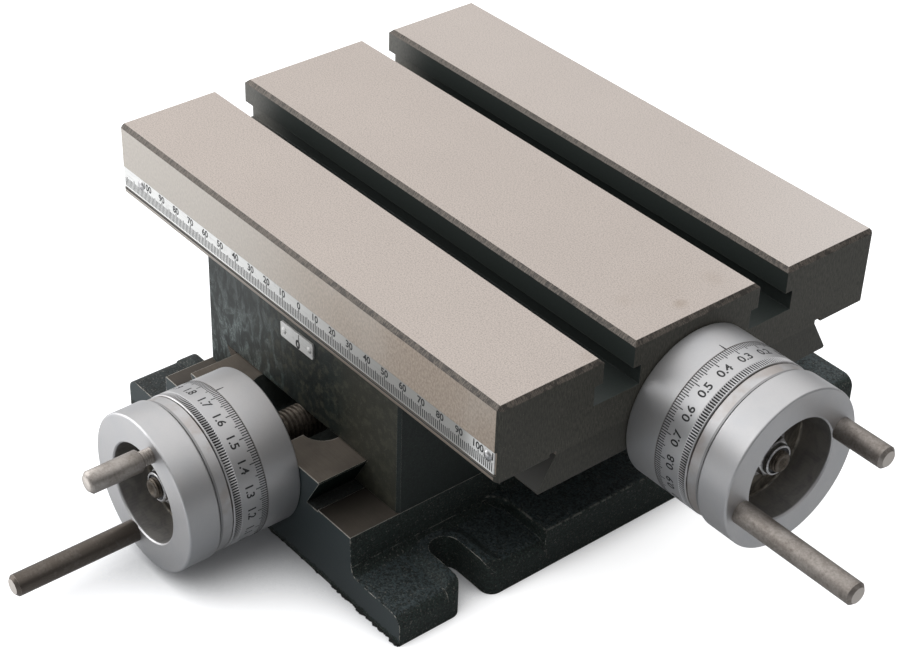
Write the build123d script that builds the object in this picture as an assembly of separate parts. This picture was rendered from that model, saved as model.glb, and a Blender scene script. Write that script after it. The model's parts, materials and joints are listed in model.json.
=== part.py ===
from build123d import *
from math import cos, radians, sin, sqrt, tan
import os

# Cross slide table: a slotted work table on two crossed dovetail slides. Each slide is
# moved by a leadscrew with a dialled handwheel. Millimetres. The origin is the centre of
# the base's underside, +X points to the table's handwheel, +Y to the back and +Z up.

# Where the slides stand
table_shift = 3.0             # table's centre to the right of the base's centre
saddle_shift = -12.6          # saddle's and table's centre line, forward of the base's centre

# Fits
slide_gap = 0.05              # oil gap on a sliding face
running_gap = 0.05            # radial gap of a shaft or a ring that turns
axial_play = 0.02
roof_gap = 0.5                # over the rails and under the table's tail
dovetail_angle = 60.0

# Base casting
base_width = 178.0            # along X
base_length = 236.0           # along Y
pad_height = 13.0             # the four bolting pads
pad_length = 68.0             # each pad along Y
shoulder_height = 18.5        # flange between the pads
pad_inner_corner = 9.0
pad_side_round = 5.0          # as cast, where the pads' tops run into the sides
step_edge_round = 1.5
body_width = 120.0
ledge_height = 30.5
wall_draft = 0.8
wall_foot_round = 4.0
rail_height = 12.85           # above the ledge
rail_top_width = 83.5
rail_tip_chamfer = 0.6
rail_relief_width = 6.3
rail_relief_depth = 0.8
trough_width = 48.4
trough_floor = 22.0
trough_floor_round = 3.0
notch_width = 30.6
front_wall = 12.1
cavity_width = 104.0          # hollow under the body
cavity_height = 14.0
cavity_end_wall = 14.0
cavity_rib = 16.0
cavity_corner = 8.0

# Mounting slots, open to the sides
mount_slot_width = 12.2
mount_slot_spacing = 165.0    # front pair to back pair
mount_slot_reach = 24.5       # from the side edge to the slot's inner end
mount_slot_mouth_round = 5.0
boss_top_width = 19.0
boss_foot_width = 26.6
boss_height = 1.9

# Saddle casting
saddle_width = 120.0          # along X
saddle_lip = 13.3             # past the upper dovetail, at the front and the back
saddle_height = 54.0
saddle_edge_chamfer = 1.2

# Table casting
table_length = 228.0          # along X
table_width = 178.0           # along Y
plate_thickness = 30.9
table_edge_chamfer = 1.5
lip_round = 1.2
tee_spacing = 73.5
tee_neck_width = 14.0
tee_neck_depth = 10.0
tee_head_width = 21.0
tee_head_depth = 8.0
tail_depth = 13.8             # dovetail below the plate
tail_bottom_width = 141.4
tail_tip_chamfer = 0.8
tail_relief_width = 3.0
tail_relief_depth = 1.5
screw_channel_width = 42.0
screw_channel_rise = 3.4      # into the plate

# Scale on the table's front, index plate on the saddle's
scale_height = 9.1
scale_thickness = 0.5
scale_drop = 18.6             # its upper edge below the table top
scale_rebate_depth = 0.6
scale_rebate_spare = 0.5      # open line under the scale
rivet_radius = 1.0
rivet_head_radius = 2.1
rivet_head_height = 0.8
rivet_length = 5.0
rivet_drop = 21.7
rivet_places = (-100.2, 109.3)
index_width = 20.0
index_height = 6.7
index_thickness = 0.8
index_drop = 38.5
index_pin_spacing = 15.6
index_pin_head_radius = 1.4
index_pin_head_height = 0.4

# Gibs and their screws
gib_thickness = 5.0
gib_end_clearance = 0.25
gib_screw_clearance = 0.25    # from the screw's shoulder to the gib
gib_screw_radius = 3.0
gib_screw_dog_radius = 2.0
gib_screw_dog_depth = 1.4
gib_screw_stick_out = 7.0
gib_screw_socket = 3.0
gib_nut_flats = 10.0
gib_nut_height = 3.6
gib_screw_count = 4
y_gib_screw_pitch = 44.0
x_gib_screw_pitch = 30.0

# Leadscrews. Stations run outwards from the face that carries the bearing collar.
screw_radius = 7.0
screw_end_chamfer = 1.2
x_screw_drop = 5.8            # axis below the plate
y_screw_rise = 5.0            # axis above the ledge
x_screw_reach = 222.0         # inwards from the table's end
y_screw_reach = 163.0         # inwards from the base's front
thrust_flange_radius = 8.2
thrust_flange_width = 4.0
thrust_washer_thickness = 1.0
thrust_washer_radius = 8.2
journal_radius = 6.0
seat_radius = 5.0
stud_radius = 4.0
stud_stick_out = 1.8          # past the wheel's lock nut
stud_centre_radius = 2.2
stud_centre_depth = 2.6

# Leadscrew nuts
y_nut_width = 34.0
y_nut_length = 28.0
y_nut_drop = 9.0              # below the screw's axis
y_nut_offset = -35.0          # from the saddle's centre
y_nut_screw_spacing = 23.0
x_nut_width = 38.0
x_nut_length = 40.0
x_nut_rise = 8.2              # above the screw's axis
x_nut_screw_spacing = 27.0
nut_edge_round = 1.5

# Cap screws of the collars and nuts
cap_radius = 2.5
cap_head_radius = 4.25
cap_head_height = 5.0
cap_socket = 4.0
cap_socket_depth = 2.5
cap_hole_gap = 0.25
cap_sink = 0.4                # head below the face
collar_screw_reach = 10.0     # into the casting
collar_screw_circle = 22.0
x_collar_screw_angles = (40, 90, 140)
y_collar_screw_angles = (0, 180, 270)
nut_screw_reach = 12.0
y_nut_screw_reach = 8.0

# Bearing collar, dial and handwheel
collar_radius = 30.5
collar_length = 14.4
collar_edge_chamfer = 0.5
face_gap = 0.1                # between the collar and the dial
dial_length = 14.7
dial_edge_chamfer = 0.35
spigot_radius = 19.0
spring_groove_depth = 1.4
spring_groove_width = 5.0
spring_groove_station = 4.0   # from the dial's back face
spring_thickness = 0.4
spring_span = 100.0
shoulder_gap = 0.4
wheel_step_radius = 30.2
wheel_step_width = 4.9
wheel_groove_radius = 29.6
wheel_groove_width = 0.5
rim_radius = 31.1
rim_width = 13.3
rim_edge_round = 0.8
recess_radius = 19.75
recess_depth = 14.0
recess_floor_round = 1.0
recess_edge_chamfer = 0.5
key_width = 3.0
key_height = 3.0
key_length = 10.0
key_sink = 1.8
wheel_washer_radius = 10.0
wheel_washer_thickness = 1.2
wheel_nut_flats = 13.0
wheel_nut_height = 5.0        # hexagon
wheel_nut_face_radius = 6.3   # flat between the corner chamfers
wheel_nut_chamfer = 0.7
wheel_nut_crown_radius = 5.9
wheel_nut_crown_height = 2.0
wheel_nut_crown_wall = 0.9
nut_insert_sink = 0.6         # below the crown's rim
nut_insert_thickness = 1.2

# Handles
handle_radius = 4.25
handle_circle = 24.0
handle_tip_chamfer = 1.2
handle_thread_radius = 3.0
handle_thread_length = 10.0
long_handle_length = 51.0
short_handle_length = 21.0
x_long_handle_angle = 196
y_long_handle_angle = 251
y_short_handle_backed_off = 5.0

# Heights and places worked out from the sizes above
ledge_run = 1 / tan(radians(dovetail_angle))
side_gap = slide_gap / sin(radians(dovetail_angle))
gib_side = gib_thickness / sin(radians(dovetail_angle))
rail_top = ledge_height + rail_height
saddle_foot = ledge_height + slide_gap
saddle_top = saddle_foot + saddle_height
saddle_length = tail_bottom_width + 2 * saddle_lip
saddle_roof = rail_top + roof_gap
plate_bottom = saddle_top + slide_gap
table_top = plate_bottom + plate_thickness
tail_bottom = plate_bottom - tail_depth
saddle_floor = tail_bottom - roof_gap
channel_roof = plate_bottom + screw_channel_rise
saddle_front = saddle_shift - saddle_length / 2
table_front = saddle_shift - table_width / 2
table_end = table_shift + table_length / 2
x_screw_height = plate_bottom - x_screw_drop
y_screw_height = ledge_height + y_screw_rise

dial_start = collar_length + face_gap
dial_end = dial_start + dial_length
shoulder_station = dial_end + shoulder_gap
groove_station = shoulder_station + wheel_step_width
rim_station = groove_station + wheel_groove_width
face_station = rim_station + rim_width
recess_station = face_station - recess_depth
hub_station = collar_length + thrust_washer_thickness + 2 * axial_play
nut_station = recess_station + wheel_washer_thickness
crown_station = nut_station + wheel_nut_height
stud_station = crown_station + wheel_nut_crown_height + stud_stick_out

# The two screw axes: local z runs outwards from the collar's seat and local y runs up
x_axis = Plane(origin=(table_end, saddle_shift, x_screw_height), x_dir=(0, 1, 0), z_dir=(1, 0, 0))
y_axis = Plane(origin=(0, -base_length / 2, y_screw_height), x_dir=(1, 0, 0), z_dir=(0, -1, 0))


def save(name, *solids):
    """Write one node, as one solid or as a group of separate solids."""
    shape = solids[0] if len(solids) == 1 else Compound([solid for item in solids for solid in item.solids()])
    export_step(shape, f"parts/{name}.step")


def block(x, y, z):
    """A box between the two ends given for each axis."""
    middle = [(span[0] + span[1]) / 2 for span in (x, y, z)]
    return Pos(*middle) * Box(x[1] - x[0], y[1] - y[0], z[1] - z[0])


def rod(radius, start, end):
    """A round bar along Z."""
    return Pos(0, 0, start) * Cylinder(radius, end - start, align=(Align.CENTER, Align.CENTER, Align.MIN))


def turned(*outline):
    """A lathe-turned piece about Z, from its (radius, station) outline."""
    return revolve(Plane.XZ * make_face(Polyline(*outline, close=True)), Axis.Z)


def washer(bore, radius, start, end):
    return rod(radius, start, end) - rod(bore, start, end)


def hexagon(flats, start, end):
    """A hexagonal bar along Z, by its width across flats."""
    outline = RegularPolygon(flats / 2, 6, major_radius=False)
    return Pos(0, 0, start) * extrude(outline, end - start)


def around(circle, angle):
    """A place on a circle about Z."""
    return Pos(circle * cos(radians(angle)), circle * sin(radians(angle)), 0)


def along_y(outline, start, end):
    """An (x, z) outline carried along Y."""
    plane = Plane(origin=(0, start, 0), x_dir=(1, 0, 0), z_dir=(0, -1, 0))
    face = plane * make_face(Polyline(*outline, close=True))
    return extrude(face, -(end - start))


def along_x(outline, start, end):
    """A (y, z) outline carried along X."""
    plane = Plane(origin=(start, 0, 0), x_dir=(0, 1, 0), z_dir=(1, 0, 0))
    face = plane * make_face(Polyline(*outline, close=True))
    return extrude(face, end - start)


def mirrored(outline):
    """A closed outline from its right half, which runs from the bottom up."""
    return [*outline, *[(-across, height) for across, height in reversed(outline)]]


def rail_side(height):
    """Half width of the base's rails at a height."""
    return rail_top_width / 2 - (rail_top - height) * ledge_run


def tail_side(height):
    """Half width of the table's dovetail at a height."""
    return tail_bottom_width / 2 - (height - tail_bottom) * ledge_run


def cap_screw(length):
    """Socket cap screw along Z, its head's underside at zero."""
    head = rod(cap_head_radius, 0, cap_head_height)
    head -= hexagon(cap_socket, cap_head_height - cap_socket_depth, cap_head_height)
    return head + rod(cap_radius, -length, 0)


def cap_hole(through):
    """Clearance hole and counterbore for a cap screw, its seat at zero."""
    counterbore = rod(cap_head_radius + cap_hole_gap, 0, cap_head_height + cap_sink)
    return counterbore + rod(cap_radius + cap_hole_gap, -through, 0)


# Places of the fasteners, each as a frame whose z axis points out of the screw's head
cap_seat = collar_length - cap_head_height - cap_sink
x_collar_screws = [x_axis.location * around(collar_screw_circle, angle) for angle in x_collar_screw_angles]
y_collar_screws = [y_axis.location * around(collar_screw_circle, angle) for angle in y_collar_screw_angles]
y_nut_centre = saddle_shift + y_nut_offset
y_nut_seat = saddle_floor - cap_head_height - cap_sink
y_nut_screws = [
    Pos(side * y_nut_screw_spacing / 2, y_nut_centre, y_nut_seat) for side in (-1, 1)
]
x_nut_top = x_screw_height + x_nut_rise
x_nut_seat = x_nut_top - cap_head_height - cap_sink
x_nut_screws = [
    Pos(0, saddle_shift + side * x_nut_screw_spacing / 2, x_nut_seat) for side in (-1, 1)
]

y_gib_screw_height = (ledge_height + saddle_roof) / 2
x_gib_screw_height = (saddle_floor + plate_bottom) / 2
y_gib_screw_places = [
    Plane(
        origin=(-saddle_width / 2, saddle_shift + (place - (gib_screw_count - 1) / 2) * y_gib_screw_pitch,
                y_gib_screw_height),
        x_dir=(0, 1, 0), z_dir=(-1, 0, 0),
    ).location
    for place in range(gib_screw_count)
]
x_gib_screw_places = [
    Plane(
        origin=((place - (gib_screw_count - 1) / 2) * x_gib_screw_pitch, saddle_shift + saddle_length / 2,
                x_gib_screw_height),
        x_dir=(1, 0, 0), z_dir=(0, 1, 0),
    ).location
    for place in range(gib_screw_count)
]
y_gib_back = rail_side(y_gib_screw_height) + side_gap + gib_side
x_gib_back = tail_side(x_gib_screw_height) + side_gap + gib_side
y_gib_screw_length = saddle_width / 2 - y_gib_back
x_gib_screw_length = saddle_length / 2 - x_gib_back


# Base casting
def mount_slot_outline(width, centre):
    """A slot from its inner end out past the side edge, for the slot on the right."""
    past_edge = base_width / 2 + boss_foot_width
    return Pos((centre + past_edge) / 2, 0) * SlotCenterToCenter(past_edge - centre, width)


def mount_slot():
    """The slot's own outline, with round corners at its mouth."""
    centre = base_width / 2 - mount_slot_reach + mount_slot_width / 2
    corner = mount_slot_mouth_round
    spread = mount_slot_width / 2 + corner
    mouth = Pos(base_width / 2 - corner / 2, 0) * Rectangle(corner, 2 * spread)
    for side in (-1, 1):
        mouth -= Pos(base_width / 2 - corner, side * spread) * Circle(corner)
    return mount_slot_outline(mount_slot_width, centre) + mouth


def base_flange():
    """Flange with four lower pads, their sides rounded as cast and their ends cut flat."""
    flange = extrude(Rectangle(base_width, base_length), shoulder_height)
    pocket_width = (base_width - body_width) / 2
    for side in (-1, 1):
        for end in (-1, 1):
            x = side * (body_width / 2 + pocket_width)
            y = end * (base_length / 2)
            pocket = RectangleRounded(2 * pocket_width, 2 * pad_length, pad_inner_corner)
            flange -= Pos(x, y, pad_height) * extrude(pocket, shoulder_height)
    shoulder_edges = flange.edges().filter_by(Plane.XY).group_by(Axis.Z)[-1]
    flange = fillet(shoulder_edges, step_edge_round)
    pad_edges = [
        edge for edge in flange.edges().filter_by(Axis.Y)
        if abs(edge.center().Z - pad_height) < 0.01 and abs(edge.center().X) > base_width / 2 - 0.01
    ]
    return fillet(pad_edges, pad_side_round)


def base_bosses():
    """Raised, sloping land round each mounting slot, rounded off at the flange's side."""
    centre = base_width / 2 - mount_slot_reach + mount_slot_width / 2
    foot = Plane.XY.offset(pad_height) * mount_slot_outline(boss_foot_width, centre)
    top = Plane.XY.offset(pad_height + boss_height) * mount_slot_outline(boss_top_width, centre)
    boss = loft([foot, top]) + extrude(foot, -pad_side_round)
    outline = extrude(Rectangle(base_width, base_length), pad_height + boss_height)
    outline_edges = [edge for edge in outline.edges().filter_by(Axis.Y) if edge.center().Z > pad_height]
    outline = fillet(outline_edges, pad_side_round + boss_height)
    bosses = []
    for y in (-mount_slot_spacing / 2, mount_slot_spacing / 2):
        bosses += [Pos(0, y, 0) * boss & outline, Pos(0, y, 0) * mirror(boss, Plane.YZ) & outline]
    return bosses


def wall_foot(floor, half_length):
    """Coves where the body's walls meet the flange at one height."""
    wall = body_width / 2 + wall_draft * (ledge_height - floor) / (ledge_height - pad_height)
    inner = body_width / 2 - wall_foot_round
    centre = (wall + wall_foot_round, floor + wall_foot_round)
    middle = (centre[0] - wall_foot_round * cos(radians(45)), centre[1] - wall_foot_round * sin(radians(45)))
    curve = ThreePointArc((wall, centre[1]), middle, (centre[0], floor))
    rest = Polyline((centre[0], floor), (inner, floor), (inner, centre[1]), (wall, centre[1]))
    section = Plane(origin=(0, -half_length, 0), x_dir=(1, 0, 0), z_dir=(0, -1, 0)) * make_face([curve, rest])
    cove = extrude(section, -2 * half_length)
    return [cove, mirror(cove, Plane.YZ)]


def base_body():
    """Walls, ledges and dovetail rails, as one section carried along Y."""
    relief_bottom = ledge_height - rail_relief_depth
    relief_inner = rail_side(relief_bottom)
    relief_outer = rail_side(ledge_height) + rail_relief_width
    tip = rail_tip_chamfer
    half = [
        (body_width / 2 + wall_draft, 0),
        (body_width / 2 + wall_draft, pad_height),
        (body_width / 2, ledge_height),
        (relief_outer, ledge_height),
        (relief_outer, relief_bottom),
        (relief_inner, relief_bottom),
        (rail_side(rail_top - tip), rail_top - tip),
        (rail_side(rail_top) - tip, rail_top),
    ]
    return along_y(mirrored(half), -base_length / 2, base_length / 2)


def base_trough():
    """Space between the rails, with round front corners and the notch for the screw."""
    corner = (trough_width - notch_width) / 2
    back_of_wall = -base_length / 2 + front_wall
    ahead = -base_length / 2 - front_wall
    behind = base_length / 2 + front_wall
    bend = (notch_width / 2 + corner * sin(radians(45)), back_of_wall + corner * (1 - cos(radians(45))))
    right = [
        Line((notch_width / 2, ahead), (notch_width / 2, back_of_wall)),
        ThreePointArc((notch_width / 2, back_of_wall), bend, (trough_width / 2, back_of_wall + corner)),
        Line((trough_width / 2, back_of_wall + corner), (trough_width / 2, behind)),
    ]
    left = [mirror(edge, Plane.YZ) for edge in right]
    ends = [
        Line((-trough_width / 2, behind), (trough_width / 2, behind)),
        Line((-notch_width / 2, ahead), (notch_width / 2, ahead)),
    ]
    trough = Pos(0, 0, trough_floor) * extrude(make_face([*right, *left, *ends]), rail_top)
    floor_edges = trough.edges().filter_by(Plane.XY).group_by(Axis.Z)[0]
    floor_edges = [edge for edge in floor_edges if abs(edge.center().X) > notch_width / 4]
    return fillet(floor_edges, trough_floor_round)


def base_cavities():
    """Two hollows under the body, with a rib across the middle."""
    length = base_length / 2 - cavity_end_wall - cavity_rib / 2
    hollow = extrude(RectangleRounded(cavity_width, length, cavity_corner), cavity_height)
    return [Pos(0, end * (cavity_rib / 2 + length / 2), 0) * hollow for end in (-1, 1)]


def make_base():
    base = base_flange() + base_bosses() + base_body()
    base += wall_foot(pad_height, base_length / 2)
    base += wall_foot(shoulder_height, base_length / 2 - pad_length - step_edge_round)
    base -= base_trough()
    base -= base_cavities()
    slot = extrude(mount_slot(), shoulder_height + wall_foot_round)
    for y in (-mount_slot_spacing / 2, mount_slot_spacing / 2):
        base -= [Pos(0, y, 0) * slot, Pos(0, y, 0) * mirror(slot, Plane.YZ)]
    for place in y_collar_screws:
        base -= place * rod(cap_radius, -collar_screw_reach, 0)
    return base


# Saddle casting
def make_saddle():
    """Block with a dovetail way under it for the rails and one across its top."""
    x = (-saddle_width / 2, saddle_width / 2)
    y = (saddle_front, saddle_front + saddle_length)
    saddle = block(x, y, (saddle_foot, saddle_top))
    saddle = chamfer(saddle.edges().filter_by(Axis.Z), saddle_edge_chamfer)
    below = ledge_height - slide_gap
    lower_way = [
        (rail_side(below) + side_gap, below),
        (rail_side(saddle_roof) + side_gap, saddle_roof),
        (-rail_side(saddle_roof) - side_gap - gib_side, saddle_roof),
        (-rail_side(below) - side_gap - gib_side, below),
    ]
    saddle -= along_y(lower_way, y[0] - 1, y[1] + 1)
    above = saddle_top + slide_gap
    upper_way = [
        (saddle_shift - tail_side(above) - side_gap, above),
        (saddle_shift - tail_side(saddle_floor) - side_gap, saddle_floor),
        (saddle_shift + tail_side(saddle_floor) + side_gap + gib_side, saddle_floor),
        (saddle_shift + tail_side(above) + side_gap + gib_side, above),
    ]
    saddle -= along_x(upper_way, x[0] - 1, x[1] + 1)
    for place in y_gib_screw_places:
        saddle -= place * rod(gib_screw_radius, -y_gib_screw_length - gib_thickness, 0)
    for place in x_gib_screw_places:
        saddle -= place * rod(gib_screw_radius, -x_gib_screw_length - gib_thickness, 0)
    for place in y_nut_screws:
        saddle -= place * cap_hole(y_nut_seat)
    for place in x_nut_screws:
        saddle -= place * rod(cap_radius, -(x_nut_seat - saddle_floor) - nut_screw_reach, 0)
    for place in index_pin_places():
        saddle -= place * rod(rivet_radius, -rivet_length, 0)
    return saddle


# Table casting
def make_table():
    """Plate with T-slots, a dovetail under it and a channel for the leadscrew."""
    half_plate = table_width / 2
    groove_bottom = plate_bottom + tail_relief_depth
    root = tail_side(plate_bottom)
    half = [
        (screw_channel_width / 2, tail_bottom),
        (tail_side(tail_bottom) - tail_tip_chamfer, tail_bottom),
        (tail_side(tail_bottom + tail_tip_chamfer), tail_bottom + tail_tip_chamfer),
        (root, plate_bottom),
        (root, groove_bottom),
        (root + tail_relief_width, groove_bottom),
        (root + tail_relief_width, plate_bottom),
        (half_plate, plate_bottom),
        (half_plate, table_top),
    ]
    left_half = [(-across, height) for across, height in reversed(half)]
    roof = [(-screw_channel_width / 2, channel_roof), (screw_channel_width / 2, channel_roof)]
    outline = [(saddle_shift + across, height) for across, height in [*half, *left_half, *roof]]
    ends = (table_shift - table_length / 2, table_end)
    table = along_x(outline, *ends)
    past_ends = (ends[0] - 1, ends[1] + 1)
    for side in (-1, 1):
        middle = saddle_shift + side * tee_spacing / 2
        neck_bottom = table_top - tee_neck_depth
        neck = (middle - tee_neck_width / 2, middle + tee_neck_width / 2)
        head = (middle - tee_head_width / 2, middle + tee_head_width / 2)
        table -= block(past_ends, neck, (neck_bottom, table_top + 1))
        table -= block(past_ends, head, (neck_bottom - tee_head_depth, neck_bottom))
    corners = [
        edge for edge in table.edges().filter_by(Axis.Z)
        if abs(abs(edge.center().Y - saddle_shift) - half_plate) < 0.01
    ]
    table = chamfer([*corners, *table.edges().group_by(Axis.Z)[-1]], table_edge_chamfer)
    lips = [
        edge for edge in table.edges().filter_by(Axis.X)
        if abs(abs(edge.center().Y - saddle_shift) - half_plate) < 0.01
        and abs(edge.center().Z - plate_bottom) < 0.01
    ]
    table = fillet(lips, lip_round)
    rebate_top = table_top - scale_drop
    rebate = (rebate_top - scale_height - scale_rebate_spare, rebate_top)
    table -= block(past_ends, (table_front - 1, table_front + scale_rebate_depth), rebate)
    for place in rivet_spots():
        table -= place * rod(rivet_radius, -rivet_length, 0)
    for place in x_collar_screws:
        table -= place * rod(cap_radius, -collar_screw_reach, 0)
    return table


# Scale and index plate
scale_face = table_front + scale_rebate_depth - scale_thickness
index_centre_height = table_top - index_drop - index_height / 2


def facing_front(x, y, z):
    """A frame at a place, with its z axis pointing out of the front."""
    return Plane(origin=(x, y, z), x_dir=(1, 0, 0), z_dir=(0, -1, 0)).location


def rivet_spots():
    return [facing_front(table_shift + place, scale_face, table_top - rivet_drop) for place in rivet_places]


def index_pin_places():
    face = saddle_front - index_thickness
    return [facing_front(side * index_pin_spacing / 2, face, index_centre_height) for side in (-1, 1)]


def drive_rivet(head_radius, head_height):
    """Round-headed drive rivet, its head's underside at zero."""
    ball = (head_radius ** 2 + head_height ** 2) / (2 * head_height)
    head = Pos(0, 0, head_height - ball) * Sphere(ball) & rod(head_radius, 0, head_height)
    return head + rod(rivet_radius, -rivet_length, 0)


def make_scale_strip():
    ends = (table_shift - table_length / 2 + table_edge_chamfer, table_end - table_edge_chamfer)
    top = table_top - scale_drop
    strip = block(ends, (scale_face, scale_face + scale_thickness), (top - scale_height, top))
    for place in rivet_spots():
        strip -= place * rod(rivet_radius, -rivet_length, 0)
    return strip


def make_index_plate():
    plate = block(
        (-index_width / 2, index_width / 2),
        (saddle_front - index_thickness, saddle_front),
        (index_centre_height - index_height / 2, index_centre_height + index_height / 2),
    )
    plate = chamfer(plate.edges().filter_by(Axis.Y), rivet_radius / 2)
    for place in index_pin_places():
        plate -= place * rod(rivet_radius, -rivet_length, 0)
    return plate


# Gibs: flat strips that take up the play on one side of each slide
def make_y_gib():
    low = saddle_foot + gib_end_clearance
    high = saddle_roof - gib_end_clearance
    outline = [
        (-rail_side(low) - side_gap, low),
        (-rail_side(high) - side_gap, high),
        (-rail_side(high) - side_gap - gib_side, high),
        (-rail_side(low) - side_gap - gib_side, low),
    ]
    gib = along_y(outline, saddle_front, saddle_front + saddle_length)
    for place in y_gib_screw_places:
        gib -= place * rod(gib_screw_dog_radius, -y_gib_screw_length - gib_screw_dog_depth, 0)
    return gib


def make_x_gib():
    low = saddle_floor + gib_end_clearance
    high = saddle_top - gib_end_clearance
    outline = [
        (saddle_shift + tail_side(low) + side_gap, low),
        (saddle_shift + tail_side(high) + side_gap, high),
        (saddle_shift + tail_side(high) + side_gap + gib_side, high),
        (saddle_shift + tail_side(low) + side_gap + gib_side, low),
    ]
    gib = along_x(outline, -saddle_width / 2, saddle_width / 2)
    for place in x_gib_screw_places:
        gib -= place * rod(gib_screw_dog_radius, -x_gib_screw_length - gib_screw_dog_depth, 0)
    return gib


def gib_screw(length):
    """Set screw whose dog point seats in the gib, zero at the saddle's face."""
    shoulder = length - gib_screw_radius * ledge_run - gib_screw_clearance
    screw = rod(gib_screw_radius, -shoulder, gib_screw_stick_out)
    screw = chamfer(screw.edges().group_by(Axis.Z)[-1], gib_screw_radius / 6)
    screw -= hexagon(gib_screw_socket, gib_screw_stick_out - gib_screw_socket, gib_screw_stick_out)
    return screw + rod(gib_screw_dog_radius, -length - gib_screw_dog_depth, -shoulder)


def gib_nut():
    nut = hexagon(gib_nut_flats, 0, gib_nut_height)
    return nut - rod(gib_screw_radius, 0, gib_nut_height)


# Leadscrews and their nuts
def make_leadscrew(reach):
    """Threaded bar with a thrust flange, a journal, a keyed seat and an end stud."""
    flange_out = -thrust_washer_thickness - axial_play
    flange_in = flange_out - thrust_flange_width
    tip = screw_end_chamfer
    screw = turned(
        (0, -reach), (screw_radius - tip, -reach), (screw_radius, -reach + tip),
        (screw_radius, flange_in), (thrust_flange_radius, flange_in), (thrust_flange_radius, flange_out),
        (journal_radius, flange_out), (journal_radius, hub_station), (seat_radius, hub_station),
        (seat_radius, recess_station - axial_play), (stud_radius, recess_station - axial_play),
        (stud_radius, stud_station - tip / 2), (stud_radius - tip / 2, stud_station),
        (stud_centre_radius, stud_station), (0, stud_station - stud_centre_depth),
    )
    return screw - key_space(key_sink)


def key_space(inner_depth):
    """Where the key lies, from its depth in the shaft out to its top in the hub."""
    inner = seat_radius - inner_depth
    middle = (hub_station + recess_station) / 2
    return block(
        (-key_width / 2, key_width / 2),
        (inner, inner + key_height),
        (middle - key_length / 2, middle + key_length / 2),
    )


def make_y_nut():
    """Bronze block that hangs from the saddle's roof into the trough."""
    bottom = y_screw_height - y_nut_drop
    ends = (y_nut_centre - y_nut_length / 2, y_nut_centre + y_nut_length / 2)
    nut = block((-y_nut_width / 2, y_nut_width / 2), ends, (bottom, saddle_roof))
    nut = fillet(nut.edges().filter_by(Axis.Y).group_by(Axis.Z)[0], nut_edge_round)
    nut = chamfer(nut.edges().filter_by(Axis.Z), nut_edge_round / 2)
    nut -= y_axis.location * rod(screw_radius + running_gap, -base_length, 0)
    for place in y_nut_screws:
        nut -= place * rod(cap_radius, -(y_nut_seat - saddle_roof) - y_nut_screw_reach, 0)
    return nut


def make_x_nut():
    """Bronze block that stands on the saddle's floor in the table's channel."""
    sides = (saddle_shift - x_nut_width / 2, saddle_shift + x_nut_width / 2)
    nut = block((-x_nut_length / 2, x_nut_length / 2), sides, (saddle_floor, x_nut_top))
    nut = fillet(nut.edges().filter_by(Axis.X).group_by(Axis.Z)[-1], nut_edge_round)
    nut = chamfer(nut.edges().filter_by(Axis.Z), nut_edge_round / 2)
    nut -= x_axis.location * rod(screw_radius + running_gap, -2 * table_length, 0)
    for place in x_nut_screws:
        nut -= place * cap_hole(x_nut_seat)
    return nut


# Bearing collar, dial and handwheel, in the screw axis's own frame
def make_collar(angles):
    collar = washer(journal_radius + running_gap, collar_radius, 0, collar_length)
    rim_edges = collar.edges().filter_by(GeomType.CIRCLE).group_by(SortBy.RADIUS)[-1]
    collar = chamfer(rim_edges.group_by(Axis.Z)[0],
                     collar_edge_chamfer)
    for angle in angles:
        collar -= around(collar_screw_circle, angle) * Pos(0, 0, cap_seat) * cap_hole(cap_seat)
    return collar


def make_dial():
    edge = dial_edge_chamfer
    bore = spigot_radius + running_gap
    return turned(
        (bore, dial_start), (collar_radius, dial_start), (collar_radius, dial_end - edge),
        (collar_radius - edge, dial_end), (bore, dial_end),
    )


def make_dial_spring():
    """Bowed leaf in the spigot's groove, which holds the dial by friction."""
    floor = spigot_radius - spring_groove_depth
    end = floor + spring_thickness
    crown = spigot_radius - spring_thickness / 2
    half = spring_span / 2

    def arc(end_radius, crown_radius):
        ends = [(end_radius * sin(radians(side * half)), end_radius * cos(radians(half))) for side in (-1, 1)]
        return ThreePointArc(ends[0], (0, crown_radius), ends[1])

    outer = arc(end, crown + spring_thickness / 2)
    inner = arc(end - spring_thickness, crown - spring_thickness / 2)
    sides = [Line(outer @ 0, inner @ 0), Line(outer @ 1, inner @ 1)]
    start = dial_start + spring_groove_station + running_gap
    bow = make_face([outer, inner, *sides])
    return Pos(0, 0, start) * extrude(bow, spring_groove_width - 2 * running_gap)


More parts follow.
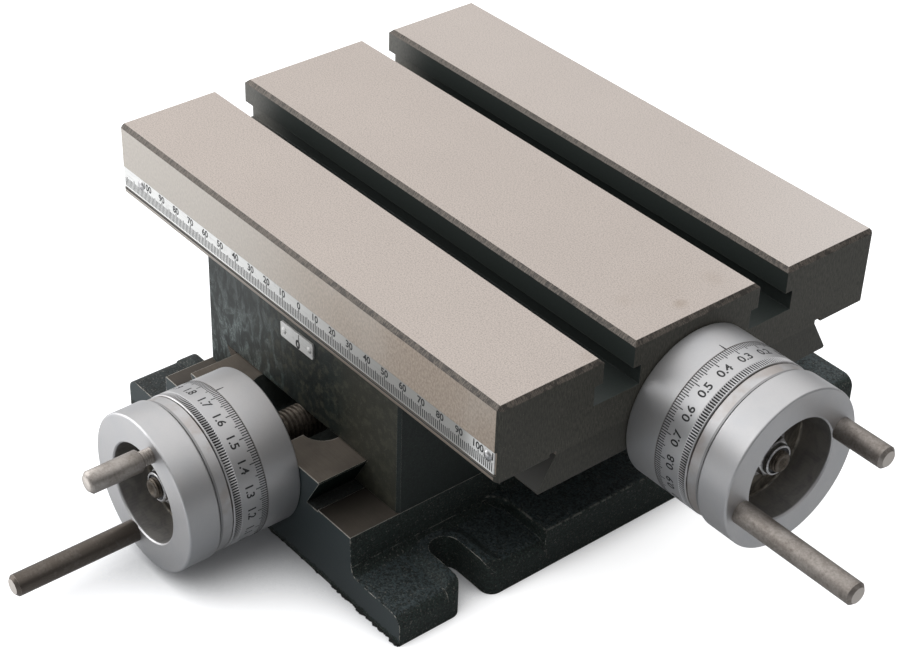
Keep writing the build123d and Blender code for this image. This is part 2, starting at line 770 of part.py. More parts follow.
def make_handwheel(long_angle):
    """Wheel with a spigot for the dial, a recess for the lock nut and two handle holes."""
    groove = dial_start + spring_groove_station
    groove_floor = spigot_radius - spring_groove_depth
    wheel = turned(
        (seat_radius, hub_station), (spigot_radius, hub_station),
        (spigot_radius, groove), (groove_floor, groove),
        (groove_floor, groove + spring_groove_width), (spigot_radius, groove + spring_groove_width),
        (spigot_radius, shoulder_station), (wheel_step_radius, shoulder_station),
        (wheel_step_radius, groove_station), (wheel_groove_radius, groove_station),
        (wheel_groove_radius, rim_station), (rim_radius, rim_station),
        (rim_radius, face_station), (recess_radius, face_station),
        (recess_radius, recess_station), (seat_radius, recess_station),
    )
    circles = wheel.edges().filter_by(GeomType.CIRCLE)

    def circle(radius, station):
        return [
            edge for edge in circles
            if abs(edge.radius - radius) < 0.01 and abs(edge.center().Z - station) < 0.01
        ]

    wheel = fillet(circle(rim_radius, face_station) + circle(rim_radius, rim_station), rim_edge_round)
    circles = wheel.edges().filter_by(GeomType.CIRCLE)
    wheel = fillet(circle(recess_radius, recess_station), recess_floor_round)
    circles = wheel.edges().filter_by(GeomType.CIRCLE)
    wheel = chamfer(circle(recess_radius, face_station), recess_edge_chamfer)
    for angle in (long_angle, long_angle + 180):
        wheel -= around(handle_circle, angle) * rod(handle_thread_radius, face_station - handle_thread_length,
                                                    face_station)
    return wheel - key_space(key_sink)


def make_nut_insert():
    """Nylon ring that grips the stud."""
    pocket = wheel_nut_crown_radius - wheel_nut_crown_wall
    outer = crown_station + wheel_nut_crown_height - nut_insert_sink
    return washer(stud_radius, pocket, outer - nut_insert_thickness, outer)


def make_wheel_nut():
    """Lock nut: a hexagon with chamfered corners and a round crown that holds the insert."""
    rim = crown_station + wheel_nut_crown_height
    corner = wheel_nut_flats / sqrt(3)
    blank = turned(
        (0, nut_station), (corner, nut_station), (corner, crown_station - wheel_nut_chamfer),
        (wheel_nut_face_radius, crown_station), (0, crown_station),
    )
    crown = rod(wheel_nut_crown_radius, crown_station, rim)
    crown = fillet(crown.edges().group_by(Axis.Z)[-1], wheel_nut_crown_wall / 2)
    pocket_floor = rim - nut_insert_sink - nut_insert_thickness
    pocket = rod(wheel_nut_crown_radius - wheel_nut_crown_wall, pocket_floor, rim)
    nut = (hexagon(wheel_nut_flats, nut_station, crown_station) & blank) + crown
    return nut - pocket - rod(stud_radius, nut_station, rim)


def make_handle(length, backed_off=0.0):
    """Round handle on a threaded stem, screwed into the wheel's rim."""
    seat = face_station + backed_off
    grip = rod(handle_radius, seat, seat + length)
    grip = chamfer(grip.edges().group_by(Axis.Z)[-1], handle_tip_chamfer)
    stem = rod(handle_thread_radius, seat - handle_thread_length, seat)
    return grip + stem


def save_handwheel_group(name, axis, reach, collar_angles, long_angle, backed_off):
    """Everything on one screw axis, placed outwards from the collar's seat."""
    place = axis.location
    inner_start = -thrust_washer_thickness - axial_play
    inner_washer = washer(journal_radius, thrust_washer_radius, inner_start, -axial_play)
    outer_start = collar_length + axial_play
    outer_end = outer_start + thrust_washer_thickness
    outer_washer = washer(journal_radius, thrust_washer_radius, outer_start, outer_end)
    screw_length = cap_seat + collar_screw_reach
    collar_screws = [
        around(collar_screw_circle, angle) * Pos(0, 0, cap_seat) * cap_screw(screw_length)
        for angle in collar_angles
    ]
    save(f"{name}_leadscrew", place * make_leadscrew(reach))
    save(f"{name}_collar", place * make_collar(collar_angles))
    save(f"{name}_collar_screws", *[place * screw for screw in collar_screws])
    save(f"{name}_thrust_washers", place * inner_washer, place * outer_washer)
    save(f"{name}_dial", place * make_dial())
    save(f"{name}_dial_spring", place * make_dial_spring())
    save(f"{name}_handwheel", place * make_handwheel(long_angle))
    save(f"{name}_wheel_key", place * key_space(key_sink))
    wheel_washer = washer(stud_radius, wheel_washer_radius, recess_station, nut_station)
    save(f"{name}_wheel_washer", place * wheel_washer)
    save(f"{name}_wheel_nut", place * make_wheel_nut())
    save(f"{name}_nut_insert", place * make_nut_insert())
    long_place = place * around(handle_circle, long_angle)
    short_place = place * around(handle_circle, long_angle + 180)
    save(f"{name}_long_handle", long_place * make_handle(long_handle_length))
    save(f"{name}_short_handle", short_place * make_handle(short_handle_length, backed_off))


os.makedirs("parts", exist_ok=True)

save("base_casting", make_base())
save("saddle_casting", make_saddle())
save("table_casting", make_table())
save("scale_strip", make_scale_strip())
save("scale_rivets", *[place * drive_rivet(rivet_head_radius, rivet_head_height) for place in rivet_spots()])
save("index_plate", make_index_plate())
index_pin = drive_rivet(index_pin_head_radius, index_pin_head_height)
save("index_pins", *[place * index_pin for place in index_pin_places()])

save("y_gib", make_y_gib())
save("x_gib", make_x_gib())
save("y_gib_screws", *[place * gib_screw(y_gib_screw_length) for place in y_gib_screw_places])
save("x_gib_screws", *[place * gib_screw(x_gib_screw_length) for place in x_gib_screw_places])
save("y_gib_locknuts", *[place * gib_nut() for place in y_gib_screw_places])
save("x_gib_locknuts", *[place * gib_nut() for place in x_gib_screw_places])

y_nut_screw_length = y_nut_seat - saddle_roof + y_nut_screw_reach
x_nut_screw_length = x_nut_seat - saddle_floor + nut_screw_reach
save("y_nut", make_y_nut())
save("y_nut_screws", *[place * cap_screw(y_nut_screw_length) for place in y_nut_screws])
save("x_nut", make_x_nut())
save("x_nut_screws", *[place * cap_screw(x_nut_screw_length) for place in x_nut_screws])

save_handwheel_group("x", x_axis, x_screw_reach, x_collar_screw_angles, x_long_handle_angle, 0.0)
save_handwheel_group(
    "y", y_axis, y_screw_reach, y_collar_screw_angles, y_long_handle_angle, y_short_handle_backed_off
)
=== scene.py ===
"""Looks of a small cast-iron cross slide table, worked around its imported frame.

Laid out as an add-on and run as a script. Lengths are metres, unless a name or a property says otherwise.
"""

import json
import math

import bmesh
import bpy
import numpy as np
from bpy.props import FloatProperty, FloatVectorProperty, IntProperty, PointerProperty
from mathutils import Matrix, Vector


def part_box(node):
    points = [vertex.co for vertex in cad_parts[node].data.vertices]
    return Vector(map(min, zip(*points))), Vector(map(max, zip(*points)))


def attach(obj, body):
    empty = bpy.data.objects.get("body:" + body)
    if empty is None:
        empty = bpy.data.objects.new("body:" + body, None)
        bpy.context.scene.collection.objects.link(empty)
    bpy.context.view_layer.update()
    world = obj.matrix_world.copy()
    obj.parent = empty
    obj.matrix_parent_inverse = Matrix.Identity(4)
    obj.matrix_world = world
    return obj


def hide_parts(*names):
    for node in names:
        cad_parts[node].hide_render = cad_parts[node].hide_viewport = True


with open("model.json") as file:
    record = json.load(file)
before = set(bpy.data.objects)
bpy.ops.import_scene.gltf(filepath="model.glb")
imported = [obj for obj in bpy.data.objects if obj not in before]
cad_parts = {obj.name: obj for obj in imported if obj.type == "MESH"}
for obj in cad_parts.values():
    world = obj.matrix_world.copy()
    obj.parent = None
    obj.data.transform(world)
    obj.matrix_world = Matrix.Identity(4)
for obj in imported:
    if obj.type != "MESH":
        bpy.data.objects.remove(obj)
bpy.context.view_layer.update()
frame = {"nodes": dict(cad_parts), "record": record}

bl_info = {
    "name": "Cross slide table finish",
    "version": (1, 0, 0),
    "blender": (4, 5, 0),
    "location": "3D View > Sidebar > Slide Table",
    "description": "Marks, threads, knurls and finishes of a cross slide table",
    "category": "Object",
}

MM = 0.001
DEGREE = math.pi / 180
SLOT_OF = {part["node"]: part["material_slot"] for part in frame["record"]["subparts"]}

# Height of the marks over the metal that carries them, and their depth in it
PROUD = 0.02 * MM
SUNK = 0.15 * MM

# Places on the frame that finishes and marks share
TABLE_LOW, TABLE_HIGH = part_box("table_casting")
SADDLE_LOW, SADDLE_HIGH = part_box("saddle_casting")
BASE_LOW, BASE_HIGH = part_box("base_casting")
STRIP_LOW, STRIP_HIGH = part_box("scale_strip")
PLATE_LOW, PLATE_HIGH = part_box("index_plate")

# Where a part of the normal counts as looking along its axis
SQUARE = (0.9, 0.98)

# The table: its slots' place from its middle and their half width, then depths from its top
TEE_OFFSET = 36.75 * MM
TEE_HALF = 10.5 * MM
TEE_DEPTH = 18.2 * MM
NECK_DEPTH = 10 * MM
PLATE_DEPTH = 30.9 * MM
CHAMFER = 1.5 * MM

# The base: half widths from its middle and heights from its foot
TROUGH_HALF = 24.5 * MM
TROUGH_FLOOR = 21 * MM
LEDGE_HALF = 58.8 * MM
SHOULDER_EDGE = 18 * MM

# Oil stains on the table's top: place, radius and strength
TOP_STAINS = (
    ((109 * MM, -14 * MM), 5 * MM, 0.45),
    ((96 * MM, -28 * MM), 8 * MM, 0.12),
    ((104 * MM, 6 * MM), 9 * MM, 0.18),
    ((60 * MM, 18 * MM), 14 * MM, 0.08),
    ((112 * MM, -60 * MM), 6 * MM, 0.18),
    ((98 * MM, -12 * MM), 24 * MM, 0.07),
)

# A casting pit in the table's right end: its place along Y and Z, and its radius
END_PIT = (-77.2 * MM, 83.5 * MM)
END_PIT_RADIUS = 1.6 * MM


def corners(node):
    """The low and the high corner of a node's box."""
    return np.array(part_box(node))


class Axis:
    """One screw axis: its origin on the collar's seat, and its outward, side and up directions."""

    def __init__(self, name, out, side):
        low, high = corners(f"{name}_collar")
        self.name = name
        self.out = np.array(out, float)
        self.side = np.array(side, float)
        self.up = np.cross(self.out, self.side)
        middle = (low + high) / 2
        seat = low @ np.abs(self.out) if self.out.sum() > 0 else high @ np.abs(self.out)
        self.origin = middle - self.out * (middle @ self.out) + np.abs(self.out) * seat
        self.radius = (high - low)[2] / 2

    def points(self, radius, angle, station):
        """The point at a radius and an angle from the side direction, at a distance out along the axis."""
        radius, angle, station = np.broadcast_arrays(radius, angle, station)
        across = (radius * np.cos(angle))[..., None] * self.side
        rise = (radius * np.sin(angle))[..., None] * self.up
        return self.origin + station[..., None] * self.out + across + rise

    def span(self, node):
        """Distances along the axis of a node's inner and outer end."""
        return sorted((corner - self.origin) @ self.out for corner in corners(node))


AXES = {
    "x": Axis("x", (1, 0, 0), (0, 1, 0)),
    "y": Axis("y", (0, -1, 0), (1, 0, 0)),
}


def metres(name, description, default):
    """A property for a length."""
    return FloatProperty(name=name, description=description, default=default, unit="LENGTH")


def angled(name, description, default):
    """A property for an angle."""
    return FloatProperty(name=name, description=description, default=default, subtype="ANGLE")


def position(name, description, default):
    """A property for a place."""
    return FloatVectorProperty(name=name, description=description, default=default, subtype="TRANSLATION")


def tinted(name, description, default):
    """A property for a colour."""
    return FloatVectorProperty(name=name, description=description, default=default, subtype="COLOR",
                               min=0, max=1)


class DialSizes(bpy.types.PropertyGroup):
    """Graduations and knurl of the two dial rings."""

    divisions: IntProperty(name="Divisions", description="Marks in one turn", default=200, min=20)
    labels: IntProperty(name="Labels", description="Numbers in one turn", default=20, min=2)
    label_step: FloatProperty(name="Label step", description="Millimetres of travel per label", default=0.1)
    mark_width: metres("Mark width", "Width of a mark", 0.38 * MM)
    short_mark: metres("Short mark", "Length of a fine mark", 2.7 * MM)
    middle_mark: metres("Middle mark", "Length of a fifth mark", 3.6 * MM)
    long_mark: metres("Long mark", "Length of a tenth mark", 4.5 * MM)
    label_height: metres("Label height", "Height of the digits", 3.5 * MM)
    label_station: metres("Label place", "Middle of the digits from the dial's inner face", 7.0 * MM)
    x_zero: angled("Table zero", "Where the table dial's zero stands at rest", 34.9 * DEGREE)
    y_zero: angled("Saddle zero", "Where the saddle dial's zero stands at rest", 139.3 * DEGREE)
    x_index: angled("Table index", "Angle of the mark on the table's collar", 92.25 * DEGREE)
    y_index: angled("Saddle index", "Angle of the mark on the base's collar", 91.9 * DEGREE)
    knurl_teeth: IntProperty(name="Knurl teeth", description="Teeth round the dial", default=188, min=20)
    knurl_depth: metres("Knurl depth", "Depth of the knurl", 0.4 * MM)
    knurl_start: metres("Knurl start", "Where the knurl begins, from the inner face", 11.0 * MM)
    knurl_length: metres("Knurl length", "Length of the knurl", 3.1 * MM)


class ThreadSizes(bpy.types.PropertyGroup):
    """Threads of the leadscrews, their studs and the short handle."""

    lead_pitch: metres("Lead pitch", "Travel of a slide in one turn", 2.0 * MM)
    lead_depth: metres("Lead depth", "Depth of the lead thread", 1.2 * MM)
    stud_pitch: metres("Stud pitch", "Pitch of the studs for the lock nuts", 1.25 * MM)
    stud_depth: metres("Stud depth", "Depth of the stud thread", 0.6 * MM)
    stem_pitch: metres("Stem pitch", "Pitch of the handle's stem", 1.0 * MM)
    stem_depth: metres("Stem depth", "Depth of the stem's thread", 0.5 * MM)


class ScaleSizes(bpy.types.PropertyGroup):
    """Millimetre scale on the table's front and the zero on the saddle's plate."""

    zero_shift: metres("Zero shift", "Scale's zero from the table's middle", 4.5 * MM)
    mark_width: metres("Mark width", "Width of a mark", 0.44 * MM)
    short_mark: metres("Short mark", "Length of a millimetre mark", 3.6 * MM)
    middle_mark: metres("Middle mark", "Length of a fifth mark", 4.1 * MM)
    long_mark: metres("Long mark", "Length of a tenth mark", 4.6 * MM)
    label_height: metres("Label height", "Height of the digits", 3.0 * MM)
    plate_label: metres("Plate label", "Height of the zero on the plate", 3.9 * MM)


class FinishTones(bpy.types.PropertyGroup):
    """Colours of the finishes."""

    ground_top: tinted("Ground top", "Table's ground top", (0.57, 0.50, 0.455))
    stain: tinted("Stain", "Oil stains on the top", (0.30, 0.23, 0.17))
    milled_front: tinted("Table front", "Table's milled front", (0.56, 0.52, 0.475))
    # Oil and painted shade: the front browns and darkens towards the right, where the light falls off
    front_oil: tinted("Oiled front", "Table's front where oil has browned it", (0.40, 0.33, 0.27))
    # Partly painted shade: far darker than the table's other milled iron, since little light reaches the ends
    table_end: tinted("Table end", "Table's ends", (0.062, 0.059, 0.047))
    chamfer: tinted("Chamfer", "Milled chamfers of the table", (0.100, 0.084, 0.070))
    slot: tinted("Slot", "Inside of the T-slots", (0.034, 0.042, 0.039))
    milled_iron: tinted("Milled iron", "Bare milled faces of the castings", (0.17, 0.145, 0.12))
    worn_edge: tinted("Worn edge", "Edges worn to bright iron", (0.50, 0.48, 0.43))
    base_paint: tinted("Base paint", "Crinkled paint of the base", (0.010, 0.0175, 0.0150))
    base_front: tinted("Base front", "Smoother paint on the base's front", (0.030, 0.042, 0.045))
    # Partly painted light: dirty iron, made pale to lift the deep shade in the trough
    trough: tinted("Trough", "Bare, dirty iron in the base's trough", (0.105, 0.12, 0.11))
    saddle_paint: tinted("Saddle paint", "Paint of the saddle", (0.0105, 0.0175, 0.0150))
    # Painted sheen on the oily smears at the saddle's left
    saddle_sheen: tinted("Saddle sheen", "Blue-grey smears at the saddle's left", (0.027, 0.034, 0.033))
    saddle_oil: tinted("Saddle oil", "Brown film at the saddle's right", (0.026, 0.026, 0.018))
    steel: tinted("Steel", "Turned steel", (0.54, 0.535, 0.54))
    steel_tint: tinted("Steel tint", "Faint blue-grey on the steel", (0.46, 0.475, 0.50))
    step_tint: tinted("Step tint", "Brown bloom on the wheels' steps", (0.42, 0.36, 0.32))
    recess: tinted("Recess", "Mottled inside of the wheels", (0.22, 0.20, 0.17))
    screw: tinted("Leadscrew", "Oiled steel of the leadscrews", (0.13, 0.11, 0.09))
    handle_bright: tinted("Handle", "Bare steel of the handles", (0.40, 0.37, 0.345))
    handle_film: tinted("Handle film", "Brown film on the handles", (0.17, 0.145, 0.125))
    bronze: tinted("Bronze", "Leadscrew nuts", (0.62, 0.44, 0.22))
    scale_white: tinted("Scale white", "Scale strip's left half", (0.89, 0.89, 0.88))
    scale_silver: tinted("Scale silver", "Scale strip's right end", (0.35, 0.345, 0.33))
    ink: tinted("Ink", "Filling of marks and digits", (0.010, 0.010, 0.011))


class StageSizes(bpy.types.PropertyGroup):
    """Camera, floor and light."""

    azimuth: angled("Azimuth", "Direction that the camera looks along", 51.34 * DEGREE)
    elevation: angled("Elevation", "How far down the camera looks", 35.54 * DEGREE)
    roll: angled("Roll", "Turn of the camera about its sight line", 1.01 * DEGREE)
    place: position("Place", "Where the camera stands", (0.4985, -0.4483, 0.5112))
    lens: FloatProperty(name="Lens", description="Focal length in millimetres", default=81.73)
    shift: FloatVectorProperty(name="Shift", description="Sideways and upward shift of the picture", size=2,
                               default=(0.0579, 0.0107))
    side_place: position("Lamp place", "Where the low side lamp stands", (-0.60, -0.49, 0.36))
    side_aim: position("Lamp aim", "What the side lamp points at", (0, 0, 0.06))
    side_size: metres("Lamp size", "Side of the lamp's square", 0.65)
    side_power: FloatProperty(name="Lamp power", description="Power of the side lamp in watts", default=3.7)
    floor_size: metres("Floor size", "Half width of the floor", 4.0)


def add_object(name, data):
    """An object in the scene's collection."""
    added = bpy.data.objects.new(name, data)
    bpy.context.scene.collection.objects.link(added)
    return added


def grid_faces(rows, columns, close_rows=False):
    """Quads between neighbours in a grid of points whose rows are rings, as rows of four indices."""
    index = np.arange(rows * columns).reshape(rows, columns)
    if close_rows:
        index = np.vstack([index, index[:1]])
    index = np.hstack([index, index[:, :1]])
    quads = [index[:-1, :-1], index[:-1, 1:], index[1:, 1:], index[1:, :-1]]
    return np.stack(quads, axis=-1).reshape(-1, 4)


def make_piece(name, points, faces, body, material, replaced=(), sharp=35 * DEGREE):
    """A mesh object from an array of points and an array of faces, riding on a body."""
    mesh = bpy.data.meshes.new(name)
    mesh.vertices.add(len(points))
    mesh.vertices.foreach_set("co", points.astype(np.float32).ravel())
    mesh.loops.add(faces.size)
    mesh.loops.foreach_set("vertex_index", faces.astype(np.int32).ravel())
    mesh.polygons.add(len(faces))
    mesh.polygons.foreach_set("loop_start", np.arange(0, faces.size, faces.shape[1], dtype=np.int32))
    mesh.update(calc_edges=True)
    merged = bmesh.new()
    merged.from_mesh(mesh)
    bmesh.ops.remove_doubles(merged, verts=merged.verts, dist=1e-7)
    bmesh.ops.dissolve_degenerate(merged, edges=merged.edges, dist=1e-8)
    bmesh.ops.recalc_face_normals(merged, faces=merged.faces)
    merged.to_mesh(mesh)
    merged.free()
    mesh.shade_smooth()
    mesh.set_sharp_from_angle(angle=sharp)
    mesh.materials.append(material)
    piece = add_object(name, mesh)
    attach(piece, body)
    if replaced:
        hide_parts(*replaced)


def letter_shape(text, height, weight):
    """A text as a flat slab of triangles about the origin: its height along y, and z from -1 to 1.

    The weight thickens the strokes, in parts of the font's size.
    """
    curve = bpy.data.curves.new("letters", "FONT")
    curve.body = text
    curve.extrude = 1
    curve.offset = weight
    curve.fill_mode = "BOTH"
    curve.resolution_u = 4
    carrier = bpy.data.objects.new("letters", curve)
    mesh = bpy.data.meshes.new_from_object(carrier)
    mesh.calc_loop_triangles()
    points = np.empty(len(mesh.vertices) * 3, np.float32)
    mesh.vertices.foreach_get("co", points)
    points = points.reshape(-1, 3).astype(float)
    faces = np.empty(len(mesh.loop_triangles) * 3, np.int32)
    mesh.loop_triangles.foreach_get("vertices", faces)
    low, high = points.min(axis=0), points.max(axis=0)
    size = height / (high[1] - low[1])
    points[:, :2] = (points[:, :2] - (low[:2] + high[:2]) / 2) * size
    bpy.data.objects.remove(carrier)
    bpy.data.curves.remove(curve)
    bpy.data.meshes.remove(mesh)
    return points, faces.reshape(-1, 3)


def slab_depth(level):
    """Depth of a slab's point, from its level of -1 below to 1 on top."""
    return np.where(level > 0, PROUD, -SUNK)


def bar_slabs(middles, half_widths, starts, ends, taper=1.0):
    """Slabs between a start and an end along y, as a batch of eight corners each and their triangles."""
    middles, half_widths, starts, ends = np.broadcast_arrays(middles, half_widths, starts, ends)
    x_sign = np.array([-1, 1, 1, -1] * 2)
    far = np.array([0, 0, 1, 1] * 2)
    level = np.array([-1] * 4 + [1] * 4)
    width = half_widths[:, None] * np.where(far == 1, taper, 1.0)
    x = middles[:, None] + width * x_sign
    y = np.where(far == 1, ends[:, None], starts[:, None])
    z = np.broadcast_to(level, x.shape)
    points = np.stack([x, y, z], axis=-1).reshape(-1, 3)
    quads = np.array([(0, 3, 2, 1), (4, 5, 6, 7), (0, 1, 5, 4), (1, 2, 6, 5), (2, 3, 7, 6), (3, 0, 4, 7)])
    triangles = np.concatenate([quads[:, :3], quads[:, [0, 2, 3]]])
    faces = (triangles[None] + 8 * np.arange(len(middles))[:, None, None]).reshape(-1, 3)
    return points, faces


def wrap_on_dial(axis, points, angle, station):
    """A slab laid on the dial: its x against the angle, its y towards the collar, its level in or out."""
    radius = axis.radius + slab_depth(points[:, 2])
    return axis.points(radius, angle - points[:, 0] / axis.radius, station - points[:, 1])


def lay_on_front(points, x, z, face):
    """A slab laid on a face that looks along -Y: its x runs along X and its y along Z."""
    depth = slab_depth(points[:, 2])
    return np.stack([x + points[:, 0], np.full(len(points), face) - depth, z + points[:, 1]], axis=-1)


class Wire:
    """A value socket of a recipe. Sums, products and powers of wires add Math nodes."""

    def __init__(self, recipe, socket):
        self.recipe = recipe
        self.socket = socket

    def math(self, operation, *others, flipped=False):
        """A Math node of this value and others, in turned order where flipped."""
        values = [self, *others]
        if flipped:
            values.reverse()
        return self.recipe.node("ShaderNodeMath", {"operation": operation}, dict(enumerate(values)))

    def __add__(self, other):
        return self.math("ADD", other)

    def __sub__(self, other):
        return self.math("SUBTRACT", other)

    def __rsub__(self, other):
        return self.math("SUBTRACT", other, flipped=True)

    def __mul__(self, other):
        return self.math("MULTIPLY", other)

    def __pow__(self, other):
        return self.math("POWER", other)

    def __abs__(self):
        return self.math("ABSOLUTE")

    def __neg__(self):
        return self.math("MULTIPLY", -1.0)

    __radd__ = __add__
    __rmul__ = __mul__

    def max(self, other):
        """The larger of two values."""
        return self.math("MAXIMUM", other)

    def ramp(self, low, high, start=0.0, end=1.0):
        """A smooth step from start to end as the value goes from low to high."""
        settings = {"interpolation_type": "SMOOTHSTEP"}
        inputs = {"Value": self, "From Min": low, "From Max": high, "To Min": start, "To Max": end}
        return self.recipe.node("ShaderNodeMapRange", settings, inputs)

    def inside(self, low, high, soft):
        """One between low and high, fading to zero over a soft edge outside them."""
        return self.ramp(low - soft, low) * self.ramp(high + soft, high)

    def near(self, middle, reach, soft):
        """One within a reach of a middle, fading to zero over a soft edge past it."""
        return abs(self - middle).ramp(reach + soft, reach)


class Recipe:
    """A material or world being made, with one method that adds any node."""

    def __init__(self, owner):
        owner.use_nodes = True
        self.owner = owner
        self.tree = owner.node_tree
        self.tree.nodes.clear()

    def node(self, kind, settings=None, inputs=None, output=0):
        """Adds a node: its settings first, then a value or a wire for each named or numbered socket."""
        added = self.tree.nodes.new(kind)
        for name, value in (settings or {}).items():
            setattr(added, name, value)
        for key, value in (inputs or {}).items():
            if isinstance(value, Wire):
                self.tree.links.new(value.socket, added.inputs[key])
            else:
                added.inputs[key].default_value = value
        return Wire(self, added.outputs[output]) if len(added.outputs) else None

    def place(self, scale=(1, 1, 1), move=(0, 0, 0)):
        """Object coordinates in metres, stretched by a scale."""
        coordinates = self.node("ShaderNodeTexCoord", output="Object")
        return self.node("ShaderNodeMapping", None, {"Vector": coordinates, "Scale": scale, "Location": move})

    def split(self, vector):
        """The three numbers of a vector."""
        added = self.node("ShaderNodeSeparateXYZ", None, {0: vector}).socket.node
        return [Wire(self, socket) for socket in added.outputs]

    def where(self):
        """The place on the object along X, Y and Z."""
        return self.split(self.place())

    def facing(self):
        """The surface's normal in the object's own directions."""
        return self.split(self.node("ShaderNodeTexCoord", output="Normal"))

    def agreement(self, first, second):
        """The cosine between two directions."""
        settings = {"operation": "DOT_PRODUCT"}
        return self.node("ShaderNodeVectorMath", settings, {0: first, 1: second}, output=1)

    def openness(self, distance, **settings):
        """How far the surroundings within a distance are open: 0 in corners, up to 1."""
        return self.node("ShaderNodeAmbientOcclusion", settings, {"Distance": distance}, output=1)

    def noise(self, size, detail=3.0, roughness=0.5, stretch=(1, 1, 1), seed=0.0, distortion=0.0):
        """Cloudy noise from 0 to 1, with spots of about a size in metres, longer along a stretched axis."""
        scale = tuple(1 / (size * length) for length in stretch)
        place = self.place(scale, (seed, 0.7 * seed, 1.3 * seed))
        inputs = {"Vector": place, "Scale": 1.0, "Detail": detail, "Roughness": roughness,
                  "Distortion": distortion}
        return self.node("ShaderNodeTexNoise", None, inputs)

    def mix(self, factor, first, second):
        """The first colour, changed to the second by the factor."""
        inputs = {0: factor, 6: colour(first), 7: colour(second)}
        return self.node("ShaderNodeMix", {"data_type": "RGBA"}, inputs, output=2)

    def grained(self, value, tone, dark, light, *span):
        """A tone that goes from darker to lighter with a value, over a span of it where one is given."""
        return self.mix(value.ramp(*span) if span else value, tone * dark, tone * light)

    def layers(self, base, *coats):
        """A colour with others laid over it in turn, each by its own factor."""
        for factor, tone in coats:
            base = self.mix(factor, base, tone)
        return base

    def round_edges(self, radius):
        """The normal as it would be with edges rounded to a radius."""
        return self.node("ShaderNodeBevel", {"samples": 6}, {"Radius": radius})

    def edges(self, radius):
        """The rounded normal, and how far it leans from the flat one: 0 on faces, up to 1 at edges."""
        rounded = self.round_edges(radius)
        flat = self.node("ShaderNodeNewGeometry", output="Normal")
        return rounded, (1 - self.agreement(rounded, flat)).ramp(0.01, 0.25)

    def bump(self, height, distance, normal, strength):
        """A normal roughened by a height from 0 to 1 that stands for a distance."""
        inputs = {"Height": height, "Distance": distance, "Strength": strength}
        if normal is not None:
            inputs["Normal"] = normal
        return self.node("ShaderNodeBump", None, inputs)

    def finish(self, tone, roughness, metallic=0.0, normal=None):
        """The Principled shader and the output."""
        inputs = {"Base Color": tone, "Roughness": roughness, "Metallic": metallic}
        if normal is not None:
            inputs["Normal"] = normal
        shader = self.node("ShaderNodeBsdfPrincipled", None, inputs)
        self.node("ShaderNodeOutputMaterial", None, {"Surface": shader})


def colour(value):
    """Gives three numbers their alpha and leaves everything else alone."""
    return (*value, 1.0) if hasattr(value, "__len__") and len(value) == 3 else value


def finish_of(name):
    """The material of a finish, made by its function at its first use."""
    title = f"{name}_finish"
    if title not in bpy.data.materials:
        FINISHES[name](Recipe(bpy.data.materials.new(title)), bpy.context.scene.finish_tones)
    return bpy.data.materials[title]


